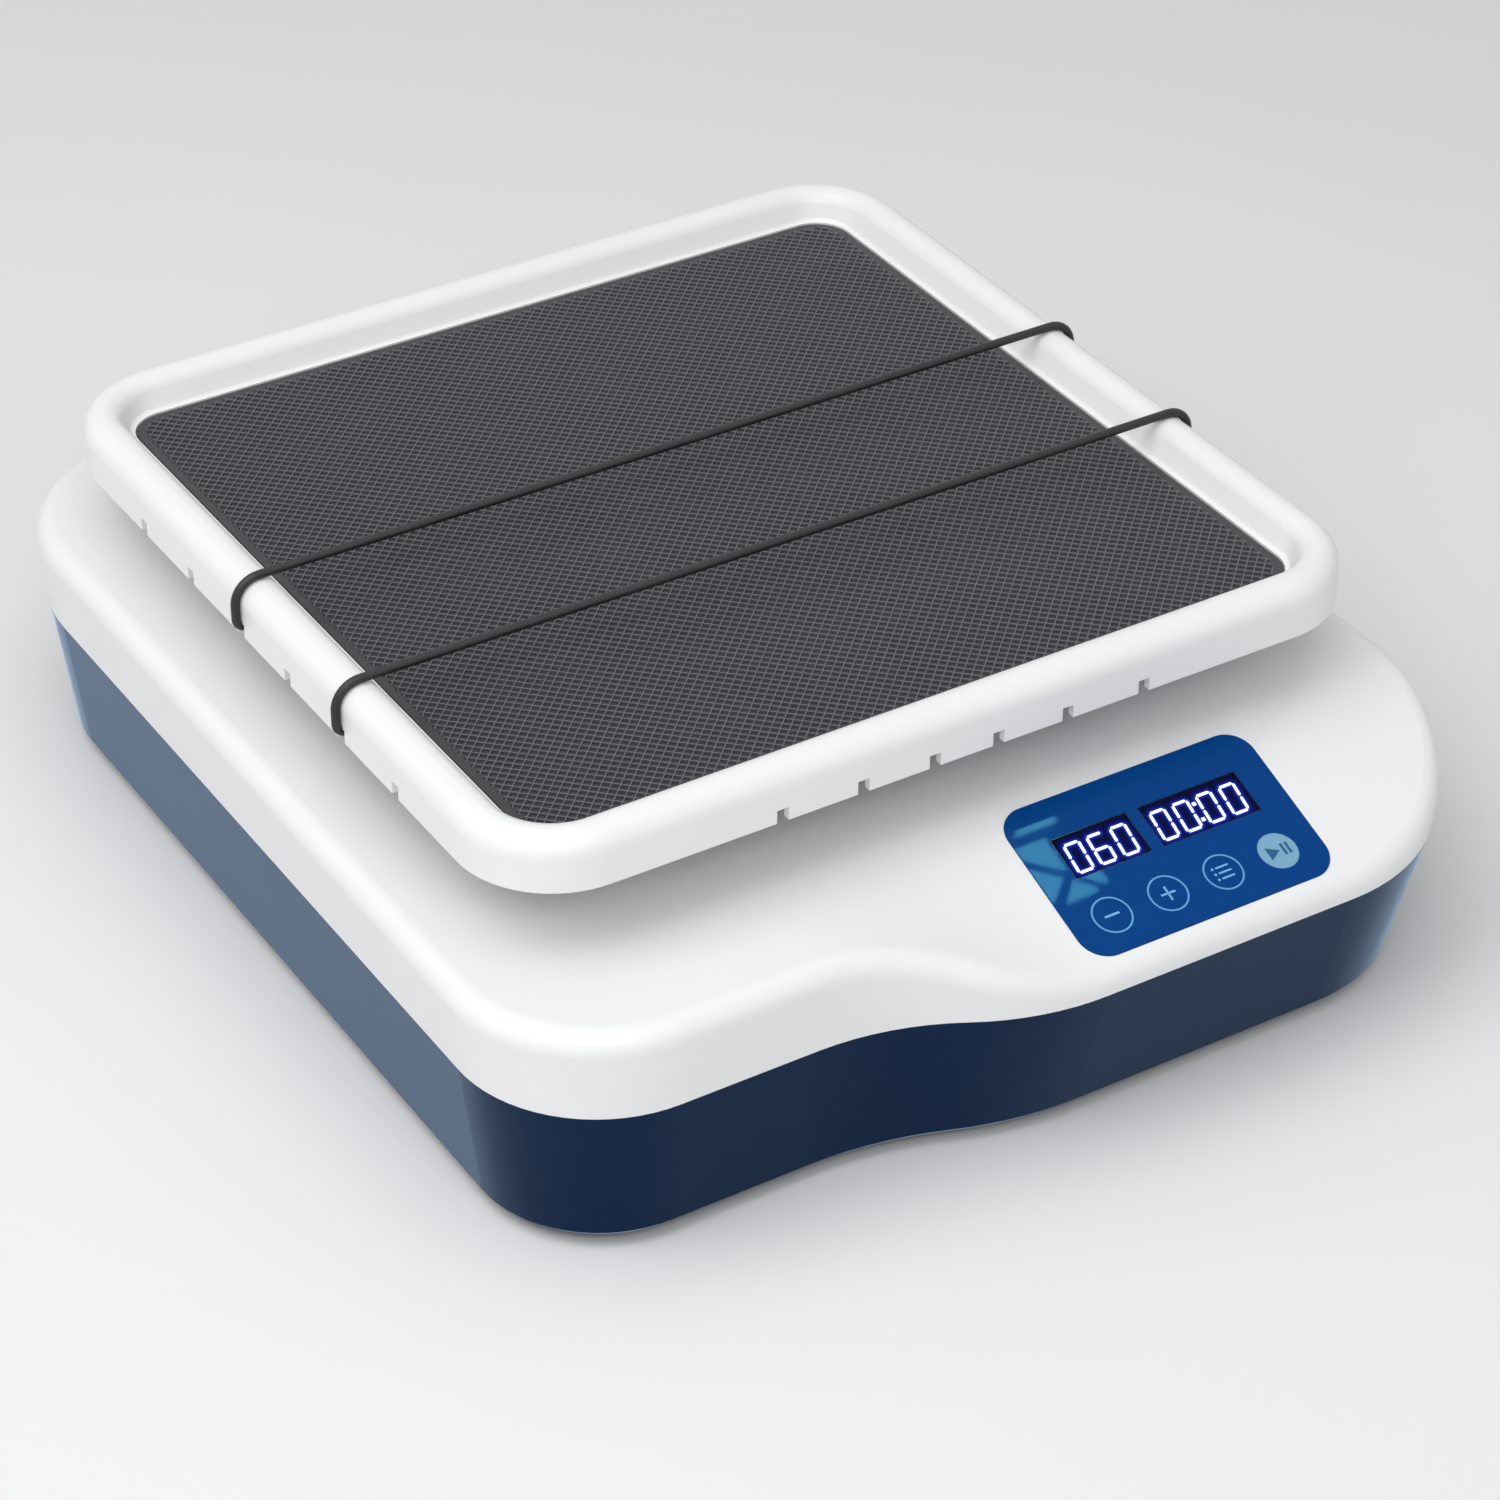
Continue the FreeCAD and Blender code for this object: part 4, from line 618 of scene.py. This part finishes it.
@dataclass
class Wardrobe:
    """All finishes, built once and handed out by the record's slot name."""

    made: dict[str, Material] = field(default_factory=dict)

    def __getitem__(self, name: str) -> Material:
        """The material of that name, built when it is first asked for."""
        if name not in self.made:
            finish = next(f for f in FINISHES if f.name == name)
            self.made[name] = finish.build()
        return self.made[name]

    def dress_construction(self) -> None:
        """Give every node of the construction model the finish its slot names."""
        slots = {row["node"]: row["material_slot"] for row in frame["record"]["subparts"]}
        for name, node in frame["nodes"].items():
            node.data.materials.clear()
            node.data.materials.append(self[slots[name]])
            LOG.info("%s wears %s", name, slots[name])


# The mat


@dataclass
class RidgedMat:
    """Rubber mat: a flat sheet with a plain border and two crossing sets of thin ridges."""

    corner: float = 12.5 * MM
    ridge_height: float = 0.62 * MM
    edge_round: float = 0.6 * MM
    edge_steps: int = 4
    border: float = 3.2 * MM
    pitch: float = 2.73 * MM
    ridge_foot: float = 0.9 * MM
    ridge_top: float = 0.26 * MM
    ridge_root: float = 0.1 * MM
    lower_set: float = 0.08 * MM
    halvings: int = 24
    half: float = field(init=False)
    centre_y: float = field(init=False)
    underside: float = field(init=False)
    floor: float = field(init=False)
    crest: float = field(init=False)

    def __post_init__(self) -> None:
        """Take the mat's place and outer size from the plain mat of the construction model."""
        low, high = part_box("mat")
        self.half = (high[0] - low[0]) / 2
        self.centre_y = (high[1] + low[1]) / 2
        self.underside, self.crest = low[2], high[2]
        self.floor = self.crest - self.ridge_height

    def build(self, wardrobe: Wardrobe) -> None:
        """Make the sheet and both sets of ridges as one piece that stands for the plain mat.

        Each point keeps a number: 1 on the ridges' tops, where a painted highlight lies, and 0 below.
        """
        sheet = self.sheet()
        sets = [self.ridges(1.0, 0.0), self.ridges(-1.0, self.lower_set)]
        points, faces = joined([sheet, *sets])
        material = wardrobe[Slot.MAT.value]
        piece = make_piece("ridged_mat", points, faces, material, Body.PLATFORM)
        foot_and_top = np.repeat([0.0, 1.0], 4)
        on_ridges = [np.tile(foot_and_top, len(more) // len(foot_and_top)) for more, _ in sets]
        add_point_values(piece, "crest", np.concatenate([np.zeros(len(sheet[0])), *on_ridges]))
        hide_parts("mat")

    def sheet(self) -> Shape:
        """The sheet: rings of one outline, drawn in by the edge's quarter circle at the top.

        Returns:
            Points and faces.
        """
        turn = np.linspace(0.0, math.pi / 2, self.edge_steps)
        insets = np.concatenate([[0.0], self.edge_round * (1 - np.cos(turn))])
        heights = np.concatenate([[self.underside], self.floor - self.edge_round * (1 - np.sin(turn))])
        outlines = [rounded_square(self.half - inset, self.corner - inset) for inset in insets]
        rings = np.stack([
            np.column_stack([outline, np.full(len(outline), height)])
            for outline, height in zip(outlines, heights)
        ])
        rings[..., 1] += self.centre_y
        return rings.reshape(-1, 3), stacked_rings(rings)

    def depth_inside(self, points: np.ndarray) -> np.ndarray:
        """Distance to the ridged field's rounded outline, negative inside.

        The outline is a square of half side a with corners of radius r. With q the absolute point
        less (a - r), the distance is the length of q's positive part, plus its larger coordinate
        where both are negative, less r.

        Args:
            points: array of shape (n, 2), about the mat's centre.

        Returns:
            Array of shape (n,).
        """
        half = self.half - self.border
        radius = self.corner - self.border
        q = np.abs(points) - (half - radius)
        return np.linalg.norm(np.maximum(q, 0), axis=-1) + np.minimum(q.max(-1), 0) - radius

    def half_lengths(self, offsets: np.ndarray, along: np.ndarray, across: np.ndarray) -> np.ndarray:
        """How far each ridge runs from its middle before it meets the rounded outline.

        An interval that holds the end is halved again and again.

        Args:
            offsets: the ridges' places across their run.
            along: unit vector of the run.
            across: unit vector across it.

        Returns:
            Array of shape (n,).
        """
        inside = np.zeros_like(offsets)
        outside = np.full_like(offsets, 2 * self.half)
        for _ in range(self.halvings):
            middle = (inside + outside) / 2
            hit = self.depth_inside(offsets[:, None] * across + middle[:, None] * along) < 0
            inside = np.where(hit, middle, inside)
            outside = np.where(hit, outside, middle)
        return inside

    def ridges(self, family: float, drop: float) -> Shape:
        """One set of parallel ridges at 45 degrees, each from edge to edge of the field.

        Ridge k lies at k times the pitch from the middle. Its section is a trapezoid, and both
        ends slope down to the floor.

        Args:
            family: 1 for the set that runs towards +X and -Y, -1 for the other.
            drop: how much lower this set's tops are.

        Returns:
            Points, eight for each ridge with its foot first, and faces.
        """
        along = np.array([1.0, -family]) / math.sqrt(2)
        across = np.array([family, 1.0]) / math.sqrt(2)
        reach = (self.half - self.corner) * math.sqrt(2) + self.corner - self.border
        count = int(reach // self.pitch)
        offsets = np.arange(-count, count + 1) * self.pitch
        length = self.half_lengths(offsets, along, across)
        long_enough = length > 2 * self.ridge_foot
        offsets, length = offsets[long_enough], length[long_enough]
        foot, top = self.ridge_foot / 2, self.ridge_top / 2
        level = np.array([self.floor - self.ridge_root, self.crest - drop])
        corner_along = np.array([[-1, 1, 1, -1], [-1, 1, 1, -1]], float)
        corner_across = np.array([[-foot, -foot, foot, foot], [-top, -top, top, top]])
        ends = np.stack([length, length - (self.crest - self.floor)], 1)[:, :, None] * corner_along
        side = offsets[:, None, None] + corner_across[None]
        flat = ends[..., None] * along + side[..., None] * across
        height = np.broadcast_to(level[None, :, None, None], flat.shape[:-1] + (1,))
        points = np.concatenate([flat, height], -1)
        points[..., 1] += self.centre_y
        box_faces = np.array([
            [3, 2, 1, 0], [4, 5, 6, 7], [0, 1, 5, 4], [1, 2, 6, 5], [2, 3, 7, 6], [3, 0, 4, 7],
        ])
        runs_clockwise = along[0] * across[1] - along[1] * across[0] < 0
        if runs_clockwise:
            box_faces = box_faces[:, ::-1]
        faces = (np.arange(len(offsets))[:, None, None] * 8 + box_faces[None]).reshape(-1, 4)
        return points.reshape(-1, 3), faces.tolist()


# The control panel


@dataclass
class PanelSheet:
    """The flat frame of the sloped panel.

    u runs to the right from the panel's front left corner, v runs up the slope, and w stands out.
    """

    slope: float = math.radians(19.7)
    film_top: float = 0.4 * MM
    window_top: float = 0.3 * MM
    ink: float = 0.05 * MM
    corner: np.ndarray = field(init=False)
    axes: np.ndarray = field(init=False)

    def __post_init__(self) -> None:
        """Find the panel's front left corner on the slope from the construction model's panel.

        The axes are X, the slope's own uphill line and its normal. Along each, the panel's lowest
        point gives the corner, but along the normal it is the film's top less how far it stands out.
        """
        cos, sin = math.cos(self.slope), math.sin(self.slope)
        self.axes = np.array([[1.0, 0.0, 0.0], [0.0, cos, sin], [0.0, -sin, cos]])
        along = node_points("control_panel") @ self.axes.T
        lowest, highest = along.min(0), along.max(0)
        self.corner = np.array([lowest[0], lowest[1], highest[2] - self.film_top]) @ self.axes

    def print_levels(self) -> Span:
        """Heights of the underside and the top of the film's print."""
        return self.film_top - self.ink, self.film_top + self.ink

    def to_part(self, points: np.ndarray) -> np.ndarray:
        """Points of the panel's own frame in the part's frame: the corner plus each way's axis."""
        return self.corner + points @ self.axes


def turned_bars(rows: Rows) -> np.ndarray:
    """Turned rectangles as polygons.

    Args:
        rows: centre u, centre v, length, width (mm) and turn (degrees) of each.

    Returns:
        Array of shape (n, 4, 2) in metres.
    """
    table = np.array(rows, float)
    corner = np.array([[-1, -1], [1, -1], [1, 1], [-1, 1]]) / 2
    box = corner[None] * table[:, None, 2:4]
    turn = np.radians(table[:, 4])
    cos, sin = np.cos(turn)[:, None], np.sin(turn)[:, None]
    u = box[..., 0] * cos - box[..., 1] * sin + table[:, 0, None]
    v = box[..., 0] * sin + box[..., 1] * cos + table[:, 1, None]
    return np.stack([u, v], -1) * MM


@dataclass
class KeyPrint:
    """Printed rings round the four keys and a symbol on each key's cap.

    A symbol is made of bars, each with its centre u and v, its length and width (mm) and its turn
    (degrees). The start key also has an arrow, given by its corners in mm.
    """

    sheet: PanelSheet
    first: float = 14.6 * MM
    pitch: float = 20.4 * MM
    row: float = 12.6 * MM
    ring_inner: float = 5.96 * MM
    ring_outer: float = 6.52 * MM
    ring_steps: int = 96
    ring_ink: Colour = (0.13, 0.36, 0.66)
    symbol_ink: Colour = (0.17, 0.44, 0.75)
    dark_ink: Colour = (0.03, 0.12, 0.26)
    minus: Rows = ((0, 0, 5.2, 0.75, 0),)
    plus: Rows = ((0, 0, 5.2, 0.7, 0), (0, 0, 5.2, 0.7, 90))
    list_lines: Rows = ((0.6, 2.0, 4.6, 0.62, 0), (0.6, 0, 4.6, 0.62, 0), (0.6, -2.0, 4.6, 0.62, 0))
    list_points: Rows = ((-2.9, 2.0, 0.8, 0.8, 45), (-2.9, 0, 0.8, 0.8, 45), (-2.9, -2.0, 0.8, 0.8, 45))
    pause: Rows = ((2.0, 0, 0.9, 4.2, 0), (3.7, 0, 0.9, 4.2, 0))
    arrow: Rows = ((-3.6, -2.4), (0.6, 0.0), (-3.6, 2.4))

    def build(self, wardrobe: Wardrobe) -> None:
        """Print the rings and symbols."""
        ring_ink = PrintedFilm("ring_ink", self.ring_ink).build()
        symbol_ink = PrintedFilm("symbol_ink", self.symbol_ink).build()
        dark_ink = PrintedFilm("dark_ink", self.dark_ink).build()
        for index, name in enumerate(("minus", "plus", "mode")):
            self.ring(f"{name}_ring", index, ring_ink)
        self.ring("start_ring", 3, wardrobe[Slot.KEY_PALE.value])
        self.symbol("minus_symbol", 0, turned_bars(self.minus), symbol_ink, Body.MINUS)
        self.symbol("plus_symbol", 1, turned_bars(self.plus), symbol_ink, Body.PLUS)
        mode = turned_bars(self.list_lines + self.list_points)
        self.symbol("mode_symbol", 2, mode, symbol_ink, Body.MODE)
        self.symbol("start_symbol", 3, turned_bars(self.pause), dark_ink, Body.START)
        self.symbol("start_arrow", 3, np.array([self.arrow]) * MM, dark_ink, Body.START)

    def centre(self, index: int) -> np.ndarray:
        """Centre of a key in the panel's frame."""
        return np.array([self.first + index * self.pitch, self.row])

    def ring(self, name: str, index: int, ink: Material) -> None:
        """A printed ring round a key: a rectangle's four corners carried round a circle.

        Args:
            name: the piece's name.
            index: the key's number from the left.
            ink: the finish.
        """
        angle = np.linspace(0, 2 * math.pi, self.ring_steps + 1)[:-1]
        radii = np.array([self.ring_inner, self.ring_outer, self.ring_outer, self.ring_inner])
        low, high = self.sheet.print_levels()
        level = np.array([low, low, high, high])
        round_it = np.stack([np.cos(angle), np.sin(angle)], -1)
        flat = self.centre(index) + radii[None, :, None] * round_it[:, None, :]
        heights = np.broadcast_to(level[None, :, None], (self.ring_steps, 4, 1))
        points = self.sheet.to_part(np.concatenate([flat, heights], -1)).reshape(-1, 3)
        here, corner = np.arange(self.ring_steps)[:, None], np.arange(4)[None, :]
        after, beside = (here + 1) % self.ring_steps, (corner + 1) % 4
        quads = [here * 4 + corner, after * 4 + corner, after * 4 + beside, here * 4 + beside]
        faces = np.stack(quads, -1).reshape(-1, 4)[:, ::-1]
        make_piece(name, points, faces, ink, Body.BASE)

    def symbol(self, name: str, index: int, polygons: np.ndarray, ink: Material, body: Body) -> None:
        """A printed symbol on a key cap.

        Args:
            name: the piece's name.
            index: the key's number from the left.
            polygons: array of shape (n, corners, 2) about the key's centre.
            ink: the finish.
            body: the key that carries it.
        """
        points, faces = prisms(polygons + self.centre(index), *self.sheet.print_levels())
        make_piece(name, self.sheet.to_part(points), faces, ink, body)


LIT_BARS = {"0": "abcdef", "6": "acdefg"}


@dataclass
class Readout:
    """Lit digits over a field of glow that fills one display window."""

    sheet: PanelSheet
    name: str
    left: float
    width: float
    digits: str
    places_mm: tuple[float, ...]
    colons_mm: tuple[float, ...] = ()
    window_front: float = 27.8 * MM
    window_height: float = 15.4 * MM
    digit_width: float = 6.1 * MM
    digit_height: float = 11.2 * MM
    digit_drop: float = 0.9 * MM
    digit_lean: float = math.radians(4.4)
    bar: float = 0.88 * MM
    bar_gap: float = 0.2 * MM
    colon_side_mm: float = 1.2
    colon_rise_mm: float = 3.0
    glow_margin: float = 0.1 * MM
    glow_reach: float = 0.95 * MM
    glow_cell: float = 0.3 * MM
    glow_rows: int = 52

    def build(self, lit: Material, glow: Material) -> None:
        """Make the digits and the field of glow.

        Args:
            lit: finish of the bars.
            glow: finish of the field.
        """
        middle = np.array([self.left + self.width / 2, self.window_front + self.window_height / 2])
        low = self.sheet.window_top - self.sheet.ink
        high = self.sheet.window_top + 2 * self.sheet.ink
        bars = self.digit_bars() + middle
        parts = [prisms(bars, low, high)]
        if self.colons_mm:
            dots = self.colon_dots() + middle
            parts.append(prisms(dots, low, high))
            as_bars = dots[:, [0, 0, 1, 2, 3, 3]]
            bars = np.concatenate([bars, as_bars])
        points, faces = joined(parts)
        on_panel = self.sheet.to_part(points)
        make_piece(f"{self.name}_digits", on_panel, faces, lit, Body.BASE)
        self.glow_field(bars, glow)

    def digit_bars(self) -> np.ndarray:
        """Six-cornered bars of seven-bar digits.

        Bars a to g are the top, the upper right, lower right, bottom, lower left, upper left and
        the middle. Each is a bar with pointed ends between two corners of the digit's frame.

        Returns:
            Array of shape (n, 6, 2), about the window's middle, in metres.
        """
        w = (self.digit_width - self.bar) / 2
        h = (self.digit_height - self.bar) / 2
        corners = {
            "a": (-w, h, w, h), "b": (w, h, w, 0), "c": (w, 0, w, -h), "d": (-w, -h, w, -h),
            "e": (-w, 0, -w, -h), "f": (-w, h, -w, 0), "g": (-w, 0, w, 0),
        }
        figures = [(LIT_BARS[digit], place * MM) for digit, place in zip(self.digits, self.places_mm)]
        ends = np.array([corners[bar] for lit, _ in figures for bar in lit]).reshape(-1, 2, 2)
        shift = np.array([place for lit, place in figures for _ in lit])
        run = ends[:, 1] - ends[:, 0]
        length = np.linalg.norm(run, axis=1, keepdims=True)
        along = run / length
        across = np.stack([-along[:, 1], along[:, 0]], 1)
        half = self.bar / 2
        reach = length / 2 - self.bar_gap
        s = np.stack([-reach, -reach + half, reach - half, reach, reach - half, -reach + half], 1)
        t = np.array([0.0, -half, -half, 0.0, half, half])
        middle = ends.mean(1)
        bars = middle[:, None] + s * along[:, None] + t[None, :, None] * across[:, None]
        moved = np.stack([shift, np.full_like(shift, -self.digit_drop)], 1)
        return self.leaning(bars) + moved[:, None]

    def colon_dots(self) -> np.ndarray:
        """Both square dots of each colon, about the window's middle."""
        side = self.colon_side_mm
        heights = (-self.colon_rise_mm, self.colon_rise_mm)
        dots = turned_bars(tuple((u, v, side, side, 0) for u in self.colons_mm for v in heights))
        return self.leaning(dots) - np.array([0.0, self.digit_drop])

    def leaning(self, flat: np.ndarray) -> np.ndarray:
        """Points about a window's middle, pushed to the right by their height times the lean's tangent."""
        push = flat[..., 1] * math.tan(self.digit_lean)
        return flat + np.stack([push, np.zeros_like(push)], -1)

    def glow_field(self, bars: np.ndarray, glow: Material) -> None:
        """A thin sheet over the window whose glow falls off with the distance to the nearest bar.

        The distance is the one to each bar's middle line, less half a bar, and the glow is the
        exponential of minus that distance over the reach.

        Args:
            bars: array of shape (n, 6, 2) in the panel's frame.
            glow: finish of the field.
        """
        columns = int(self.width / self.glow_cell)
        first_u, last_u = self.left + self.glow_margin, self.left + self.width - self.glow_margin
        first_v = self.window_front + self.glow_margin
        last_v = self.window_front + self.window_height - self.glow_margin
        u = np.linspace(first_u, last_u, columns)
        v = np.linspace(first_v, last_v, self.glow_rows)
        grid = np.stack(np.meshgrid(u, v), -1)
        start = (bars[:, 1] + bars[:, 5]) / 2
        end = (bars[:, 2] + bars[:, 4]) / 2
        run = end - start
        along = ((grid[:, :, None] - start) * run).sum(-1) / np.maximum((run * run).sum(-1), 1e-12)
        nearest = start + np.clip(along, 0, 1)[..., None] * run
        distance = np.linalg.norm(grid[:, :, None] - nearest, axis=-1).min(-1) - self.bar / 2
        value = np.exp(-np.maximum(distance, 0) / self.glow_reach)
        rows = self.glow_rows
        level = self.sheet.window_top + self.sheet.ink / 2
        top = np.concatenate([grid, np.full((rows, columns, 1), level)], -1).reshape(-1, 3)
        number = np.arange(rows * columns).reshape(rows, columns)
        quads = np.stack([number[:-1, :-1], number[:-1, 1:], number[1:, 1:], number[1:, :-1]], -1)
        edge = np.concatenate([number[0], number[1:, -1], number[-1, -2::-1], number[-2:0:-1, 0]])
        skirt = top[edge] - np.array([0, 0, self.sheet.ink])
        below = rows * columns + np.arange(len(edge))
        sides = np.stack([below, np.roll(below, -1), np.roll(edge, -1), edge], -1)
        faces = quads.reshape(-1, 4).tolist() + sides.tolist() + [below[::-1].tolist()]
        points = self.sheet.to_part(np.concatenate([top, skirt]))
        piece = make_piece(f"{self.name}_glow", points, faces, glow, Body.BASE, True)
        add_point_values(piece, "glow", np.concatenate([value.ravel(), value.ravel()[edge]]))


@dataclass
class ControlPanel:
    """Printing and lit digits of the sloped panel, laid out in its own flat frame."""

    sheet: PanelSheet = field(default_factory=PanelSheet)
    bar_light: Colour = (0.9, 0.94, 1.0)
    bar_strength: float = 0.97
    filter_colour: Colour = (0.0005, 0.0005, 0.002)
    glow_near: Colour = (0.02, 0.06, 0.66)
    glow_far: Colour = (0.0, 0.003, 0.13)

    def build(self, wardrobe: Wardrobe) -> None:
        """Make the rings, key symbols, glow fields and digits."""
        KeyPrint(self.sheet).build(wardrobe)
        lit = LitSegment("lit_white", self.bar_light, self.bar_strength).build()
        glow = GlowField("digit_glow", self.filter_colour, self.glow_near, self.glow_far).build()
        speed = Readout(self.sheet, "speed", 11.7 * MM, 27.5 * MM, "060", (-8.7, -0.4, 8.1))
        timer = Readout(
            self.sheet, "timer", 43.6 * MM, 36.2 * MM, "0000", (-13.5, -5.1, 3.7, 12.3), (-0.75,)
        )
        for readout in (speed, timer):
            readout.build(lit, glow)


# Stage, light and camera


@dataclass(frozen=True)
class LatticeWindow:
    """Lit panes of a roof window, hung where the camera sees their mirror image in the control panel.

    Each corner of a pane is a place (u, v) in mm on the panel. From there it goes the distance along
    the mirrored line of sight, 2 (s . n) n - s, where s points to the camera and n is the panel's
    normal.
    """

    panes: tuple[Rows, ...] = (
        ((0.5, 51.5), (8.5, 59.0), (0.5, 59.0)),
        ((1.8, 48.0), (17.8, 48.0), (17.8, 59.0), (12.5, 59.0)),
        ((-0.5, 40.2), (10.8, 31.2), (10.8, 44.5), (-0.5, 44.5)),
        ((-0.5, 22.6), (1.0, 23.5), (8.2, 29.8), (-0.5, 37.0)),
        ((3.8, 21.2), (15.2, 21.4), (16.0, 22.9), (10.4, 28.2)),
        ((18.9, 23.2), (20.5, 23.2), (20.3, 28.6), (12.6, 28.6)),
    )
    distance: float = 1.5
    light: Colour = (0.2, 0.83, 1.0)
    strength: float = 58.0

    def build(self, sheet: PanelSheet, eye: Triple) -> None:
        """Make the panes as one glowing mesh that the camera meets only as a reflection.

        Args:
            sheet: the panel that mirrors them.
            eye: the camera's place.
        """
        bench = NodeBench("window_light")
        bench.set(Base_Color=(0.0, 0.0, 0.0, 1.0), Specular_IOR_Level=0.0)
        bench.set(Emission_Color=(*self.light, 1.0), Emission_Strength=self.strength)
        flat = np.array([corner for pane in self.panes for corner in pane]) * MM
        spots = sheet.to_part(np.column_stack([flat, np.full(len(flat), sheet.film_top)]))
        sight = np.array(eye) - spots
        sight /= np.linalg.norm(sight, axis=1, keepdims=True)
        normal = sheet.axes[2]
        points = spots + self.distance * (2 * (sight @ normal)[:, None] * normal - sight)
        ends = np.cumsum([len(pane) for pane in self.panes])
        faces = [list(range(end - len(pane), end)) for end, pane in zip(ends, self.panes)]
        panes = new_object("window_panes", points, faces, bench.material)
        panes.visible_camera = False


@dataclass(frozen=True)
class SoftLamp:
    """A soft rectangular lamp that points at a target."""

    name: str
    place: Triple
    target: Triple
    width: float
    height: float
    watts: float

    def build(self) -> None:
        """Make the lamp."""
        data = bpy.data.lights.new(self.name, "AREA")
        data.shape = "RECTANGLE"
        data.size, data.size_y, data.energy = self.width, self.height, self.watts
        lamp = bpy.data.objects.new(self.name, data)
        bpy.context.scene.collection.objects.link(lamp)
        lamp.location = self.place
        beam = Vector(self.target) - Vector(self.place)
        lamp.rotation_euler = beam.to_track_quat("-Z", "Y").to_euler()


@dataclass
class Studio:
    """Plain pale floor, plain soft light, and the camera at the photograph's angle."""

    floor_colour: Colour = (0.83, 0.835, 0.84)
    floor_reach: float = 12.0
    background: Colour = (0.9, 0.9, 0.9)
    room_light: float = 0.44
    lamps: tuple[SoftLamp, ...] = (
        SoftLamp("overhead", (-0.5, -0.3, 1.65), (0.0, 0.0, 0.1), 1.7, 1.8, 11.6),
        SoftLamp("left_wall", (-1.15, 0.0, 1.5), (0.0, 0.0, 0.08), 1.4, 1.2, 8.9),
        SoftLamp("camera_side", (-0.6, -1.35, 1.3), (0.0, 0.0, 0.08), 1.4, 0.45, 8.2),
    )
    camera_place: Triple = (-0.6217, -1.0168, 0.8613)
    camera_turn_degrees: Triple = (55.0508, -0.2342, -31.7334)
    lens_mm: float = 107.204
    sensor_mm: float = 36.0
    clip: Span = (0.05, 50.0)

    def build(self) -> None:
        """Make the stage, the lamps and the camera."""
        self.floor()
        self.world()
        for lamp in self.lamps:
            lamp.build()
        self.camera()

    def floor(self) -> None:
        """A pale floor with a hardly visible mottling."""
        bench = NodeBench("pale_floor")
        mottle = bench.noise(bench.place(), 3.0)
        darker, lighter = shade(self.floor_colour, 0.99), shade(self.floor_colour, 1.01)
        bench.feed(Base_Color=bench.ramp(mottle, darker, lighter))
        bench.set(Roughness=0.8)
        corners = np.array([[-1, -1, 0], [1, -1, 0], [1, 1, 0], [-1, 1, 0]]) * self.floor_reach
        floor = new_object("floor", corners, [[0, 1, 2, 3]], bench.material)

    def world(self) -> None:
        """Even soft light from all round, with a pale background where the camera looks past."""
        world = bpy.data.worlds.new("soft_room")
        bpy.context.scene.world = world
        world.use_nodes = True
        tree = world.node_tree
        light = tree.nodes["Background"]
        NodeBench.fill(light, Color=(*self.background, 1.0), Strength=self.room_light)
        seen = tree.nodes.new("ShaderNodeBackground")
        NodeBench.fill(seen, Color=(*self.background, 1.0), Strength=1.0)
        path = tree.nodes.new("ShaderNodeLightPath")
        mix = tree.nodes.new("ShaderNodeMixShader")
        direct = tree.nodes.new("ShaderNodeMath")
        shown = tree.nodes.new("ShaderNodeMath")
        direct.operation = shown.operation = "MAXIMUM"
        links = (
            (path.outputs["Is Camera Ray"], direct.inputs[0]),
            (path.outputs["Is Glossy Ray"], direct.inputs[1]),
            (direct.outputs["Value"], shown.inputs[0]),
            (path.outputs["Is Transmission Ray"], shown.inputs[1]),
            (shown.outputs["Value"], mix.inputs["Fac"]),
            (light.outputs["Background"], mix.inputs[1]),
            (seen.outputs["Background"], mix.inputs[2]),
            (mix.outputs["Shader"], tree.nodes["World Output"].inputs["Surface"]),
        )
        for source, target in links:
            tree.links.new(source, target)

    def camera(self) -> None:
        """The camera, placed and turned as the photograph's lines give it."""
        data = bpy.data.cameras.new("camera")
        data.lens, data.sensor_width = self.lens_mm, self.sensor_mm
        data.clip_start, data.clip_end = self.clip
        camera = bpy.data.objects.new("camera", data)
        bpy.context.scene.collection.objects.link(camera)
        camera.location = self.camera_place
        camera.rotation_euler = tuple(math.radians(turn) for turn in self.camera_turn_degrees)
        bpy.context.scene.camera = camera


def main() -> None:
    """Dress the part, add its own pieces, and set the stage."""
    bpy.context.scene.view_settings.view_transform = "Standard"
    studio = Studio()
    studio.build()
    wardrobe = Wardrobe()
    wardrobe.dress_construction()
    panel = ControlPanel()
    LatticeWindow().build(panel.sheet, studio.camera_place)
    for assembly in (RidgedMat(), panel):
        LOG.info("building %s", type(assembly).__name__)
        assembly.build(wardrobe)


if __name__ == "__main__":
    main()
